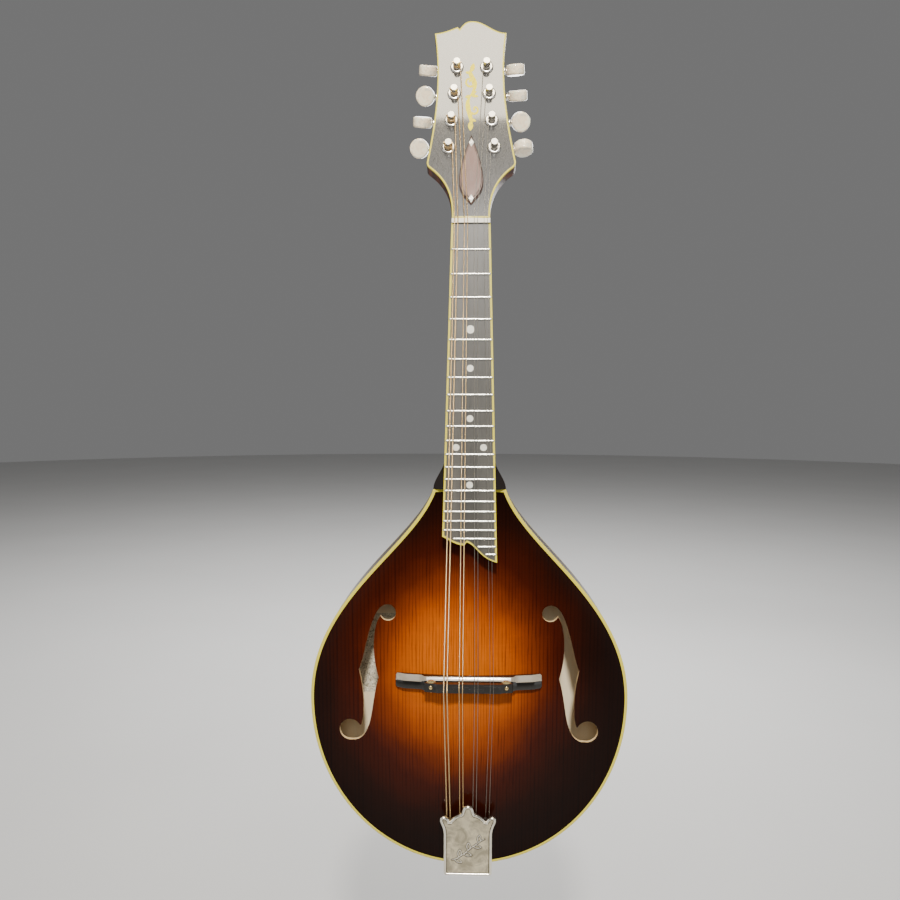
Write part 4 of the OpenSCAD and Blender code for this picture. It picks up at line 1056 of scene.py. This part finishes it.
def worm_thread():
    """Rings of a shaft with its thread along X."""
    rings, half = [], 2 * PITCH + 0.4
    for x in np.arange(-half, half + 0.01, 0.14):
        off = (x - PITCH * (around(40) / (2 * math.pi) - 0.75)) / PITCH
        off = np.abs(off - np.round(off)) * PITCH
        thread = np.clip((0.3 + 0.4 - off) / 0.4, 0, 1) * float(smooth((half - abs(x)) / 0.5))
        rings.append(x_ring(x, CORE_R + (THREAD_R - CORE_R) * thread))
    return rings


def worm(n):
    s = side(n)
    near = [(7.7, 0.01), (7.7, 1.35), (7.5, 1.6), (5.1, 1.6), (5.1, 1.7)]
    far = [(5.1, 1.7), (5.1, 1.6), (12.6, 1.6), (12.9, 2.0), (13.3, 2.0), (13.5, 1.7), (13.9, 1.75),
           (14.2, 2.3), (14.7, 2.5), (15.4, 2.55), (16.2, 2.5), (16.7, 2.2), (16.95, 1.6), (30, 1.6),
           (30, 0.01)]
    rings = [x_ring(-s * x, r) for x, r in near] + worm_thread()[::s] + [x_ring(s * x, r) for x, r in far]
    m = tuner(n) @ moved(WORM_Y, GAP, 0)
    piece(f"worm_{n}", loft(rings), "nickel", body=f"tuner_{n}", replaces=[f"tuner_worm_{n}"], at=m, sharp=42)


TURNED = [32, 127, 36, 127, 90, 36, 126, 120]


def button(n):
    """An oval with flat faces and a fully rounded edge."""
    a = around(56)
    swell = 1 - 0.03 * np.cos(2 * a)
    turns = np.radians([12, 26, 40, 54, 68, 80, 90])
    edge = [(1.5 * (1 - math.sin(t)), 2.5 + 1.47 * math.cos(t)) for t in turns]
    half = [(7.4, 4.0), (4.0, 4.0), (1.8, 3.99)] + edge
    profile = half + [(0.0, 0.0)] + [(d, -y) for d, y in half[::-1]]
    oval = lambda d: np.column_stack([(7.5 - d) * np.cos(a), (7.3 - d * 0.98) * swell * np.sin(a)])
    m = tuner(n) @ Matrix.Translation((side(n) * 24.5, 0, 0)) @ moved(WORM_Y, GAP, TURNED[n - 1])
    piece(f"button_{n}", loft([ring(oval(d), y) for d, y in profile]), "pearloid", body=f"tuner_{n}",
          replaces=[f"tuner_button_{n}"], at=m, sharp=50)


def bushings():
    profile = [(2.57, 8), (4.1, 8), (4.1, 0), (5.3, -0.02), (5.3, -0.7), (5.18, -0.92), (4.65, -1.3),
               (4.4, -1.4), (2.8, -1.4), (2.57, -1.25), (2.57, 8)]
    shapes = [carried(tuner(n), lathe(profile, 44)) for n in range(1, 9)]
    piece("ferrules", merge(*shapes), "nickel", replaces=["tuner_bushings"], sharp=50)


for n in range(1, 9):
    worm(n)
    button(n)
bushings()


# ---- Finishes and eased edges of the CAD parts that stay in view ----
EASED = {"nut": 0.25, "fretboard": 0.12, "bridge_saddle": 0.6, "bridge_wheel_bass": 0.12,
         "bridge_wheel_treble": 0.12, "tailpiece_plate": 0.2, "tuner_plates": 0.15, "small_screws": 0.14,
         "truss_rod_nut": 0.15, "tone_bars": 0.3}
for row in frame["record"]["subparts"]:
    o = frame["nodes"][row["node"]]
    if o.hide_render:
        continue
    o.data.materials.clear()
    o.data.materials.append(LOOKS[row["material_slot"]])
    if row["node"] in EASED:
        bevel(o, EASED[row["node"]], 40, weld=True)
    elif row["node"].startswith("tuner_post"):
        bevel(o, 0.14, 40, weld=True)


# ---- Floor, light and camera ----
def stage(z):
    rim = [(x, y, z) for x, y in circle((0, 0), 9.0, 64)]
    floor = new_object("floor", [(0, 0, z)] + rim, [(0, 1 + i, 1 + (i + 1) % 64) for i in range(64)])
    look = Look("pale_floor", Roughness=0.7, Specular_IOR_Level=0.2)
    colour = look.mix(look.noise(3), (0.56, 0.555, 0.545), (0.6, 0.595, 0.585))
    floor.data.materials.append(look.finish(colour))


def lamp(name, aim, offset, size, watts, colour=(1, 1, 1)):
    """An area light at an offset from what it aims at."""
    light = bpy.data.lights.new(name, "AREA")
    light.shape, light.energy, light.color = "RECTANGLE", watts, colour
    light.size, light.size_y = size
    o = bpy.data.objects.new(name, light)
    o.location = aim + Vector(offset)
    o.rotation_mode = "QUATERNION"
    o.rotation_quaternion = (-Vector(offset)).to_track_quat("-Z", "Y")
    bpy.context.scene.collection.objects.link(o)


def lights_and_camera():
    scene = bpy.context.scene
    world = bpy.data.worlds.new("studio")
    scene.world = world
    world.use_nodes = True
    sky = world.node_tree.nodes["Background"]
    sky.inputs[0].default_value = (0.8, 0.8, 0.8, 1)
    sky.inputs[1].default_value = 0.22
    middle = (cad_box[0] + cad_box[1]) / 2
    head = Vector((0, 0.0, cad_box[1].z - 0.06))
    neck_top = Vector((0, 0, -0.05))
    lamp("key", middle, (0.03, -1.32, 1.05), (0.14, 0.14), 43, (1.0, 0.96, 0.9))
    lamp("sheen", head, (0, -0.63, 1.1), (0.8, 0.39), 12.5, (1.0, 0.9, 0.7))
    lamp("board_sheen", neck_top, (0, -1.45, 0.36), (0.5, 0.4), 2.8, (1.0, 0.97, 0.9))
    lamp("fill", middle, (-1.6, -0.7, 0.1), (1.1, 1.1), 4)
    lamp("fill_right", middle, (1.6, -0.7, -0.1), (1.1, 1.1), 4)
    lamp("floor_wash", Vector((0, 3.4, FLOOR_Z)), (0, -1.8, 1.4 - FLOOR_Z), (2.4, 0.6), 110)
    lamp("rear", middle, (0.4, 1.6, 0.7), (1.1, 1.1), 20)
    # camera: level with the lower neck, a little over half a metre in front, looking 7 degrees down
    cam = bpy.data.cameras.new("camera")
    cam.lens, cam.sensor_width = 32.68, 36.0
    cam.shift_y = 42 / 900
    cam.clip_start, cam.clip_end = 0.01, 60
    o = bpy.data.objects.new("camera", cam)
    scene.collection.objects.link(o)
    down, yaw, roll = math.radians(7.15), math.atan(20 / 817), math.radians(0.12)
    ahead = Vector((-math.sin(yaw) * math.cos(down), math.cos(yaw) * math.cos(down), -math.sin(down)))
    right = Vector((math.cos(yaw), math.sin(yaw), 0))
    up = right.cross(ahead)
    right, up = right * math.cos(roll) + up * math.sin(roll), up * math.cos(roll) - right * math.sin(roll)
    turn = Matrix((right, up, -ahead)).transposed()
    o.matrix_world = Matrix.Translation((0.0002, -0.6521, -0.126)) @ turn.to_4x4()
    scene.camera = o


FLOOR_Z = cad_box[0].z - 0.35
stage(FLOOR_Z)
lights_and_camera()
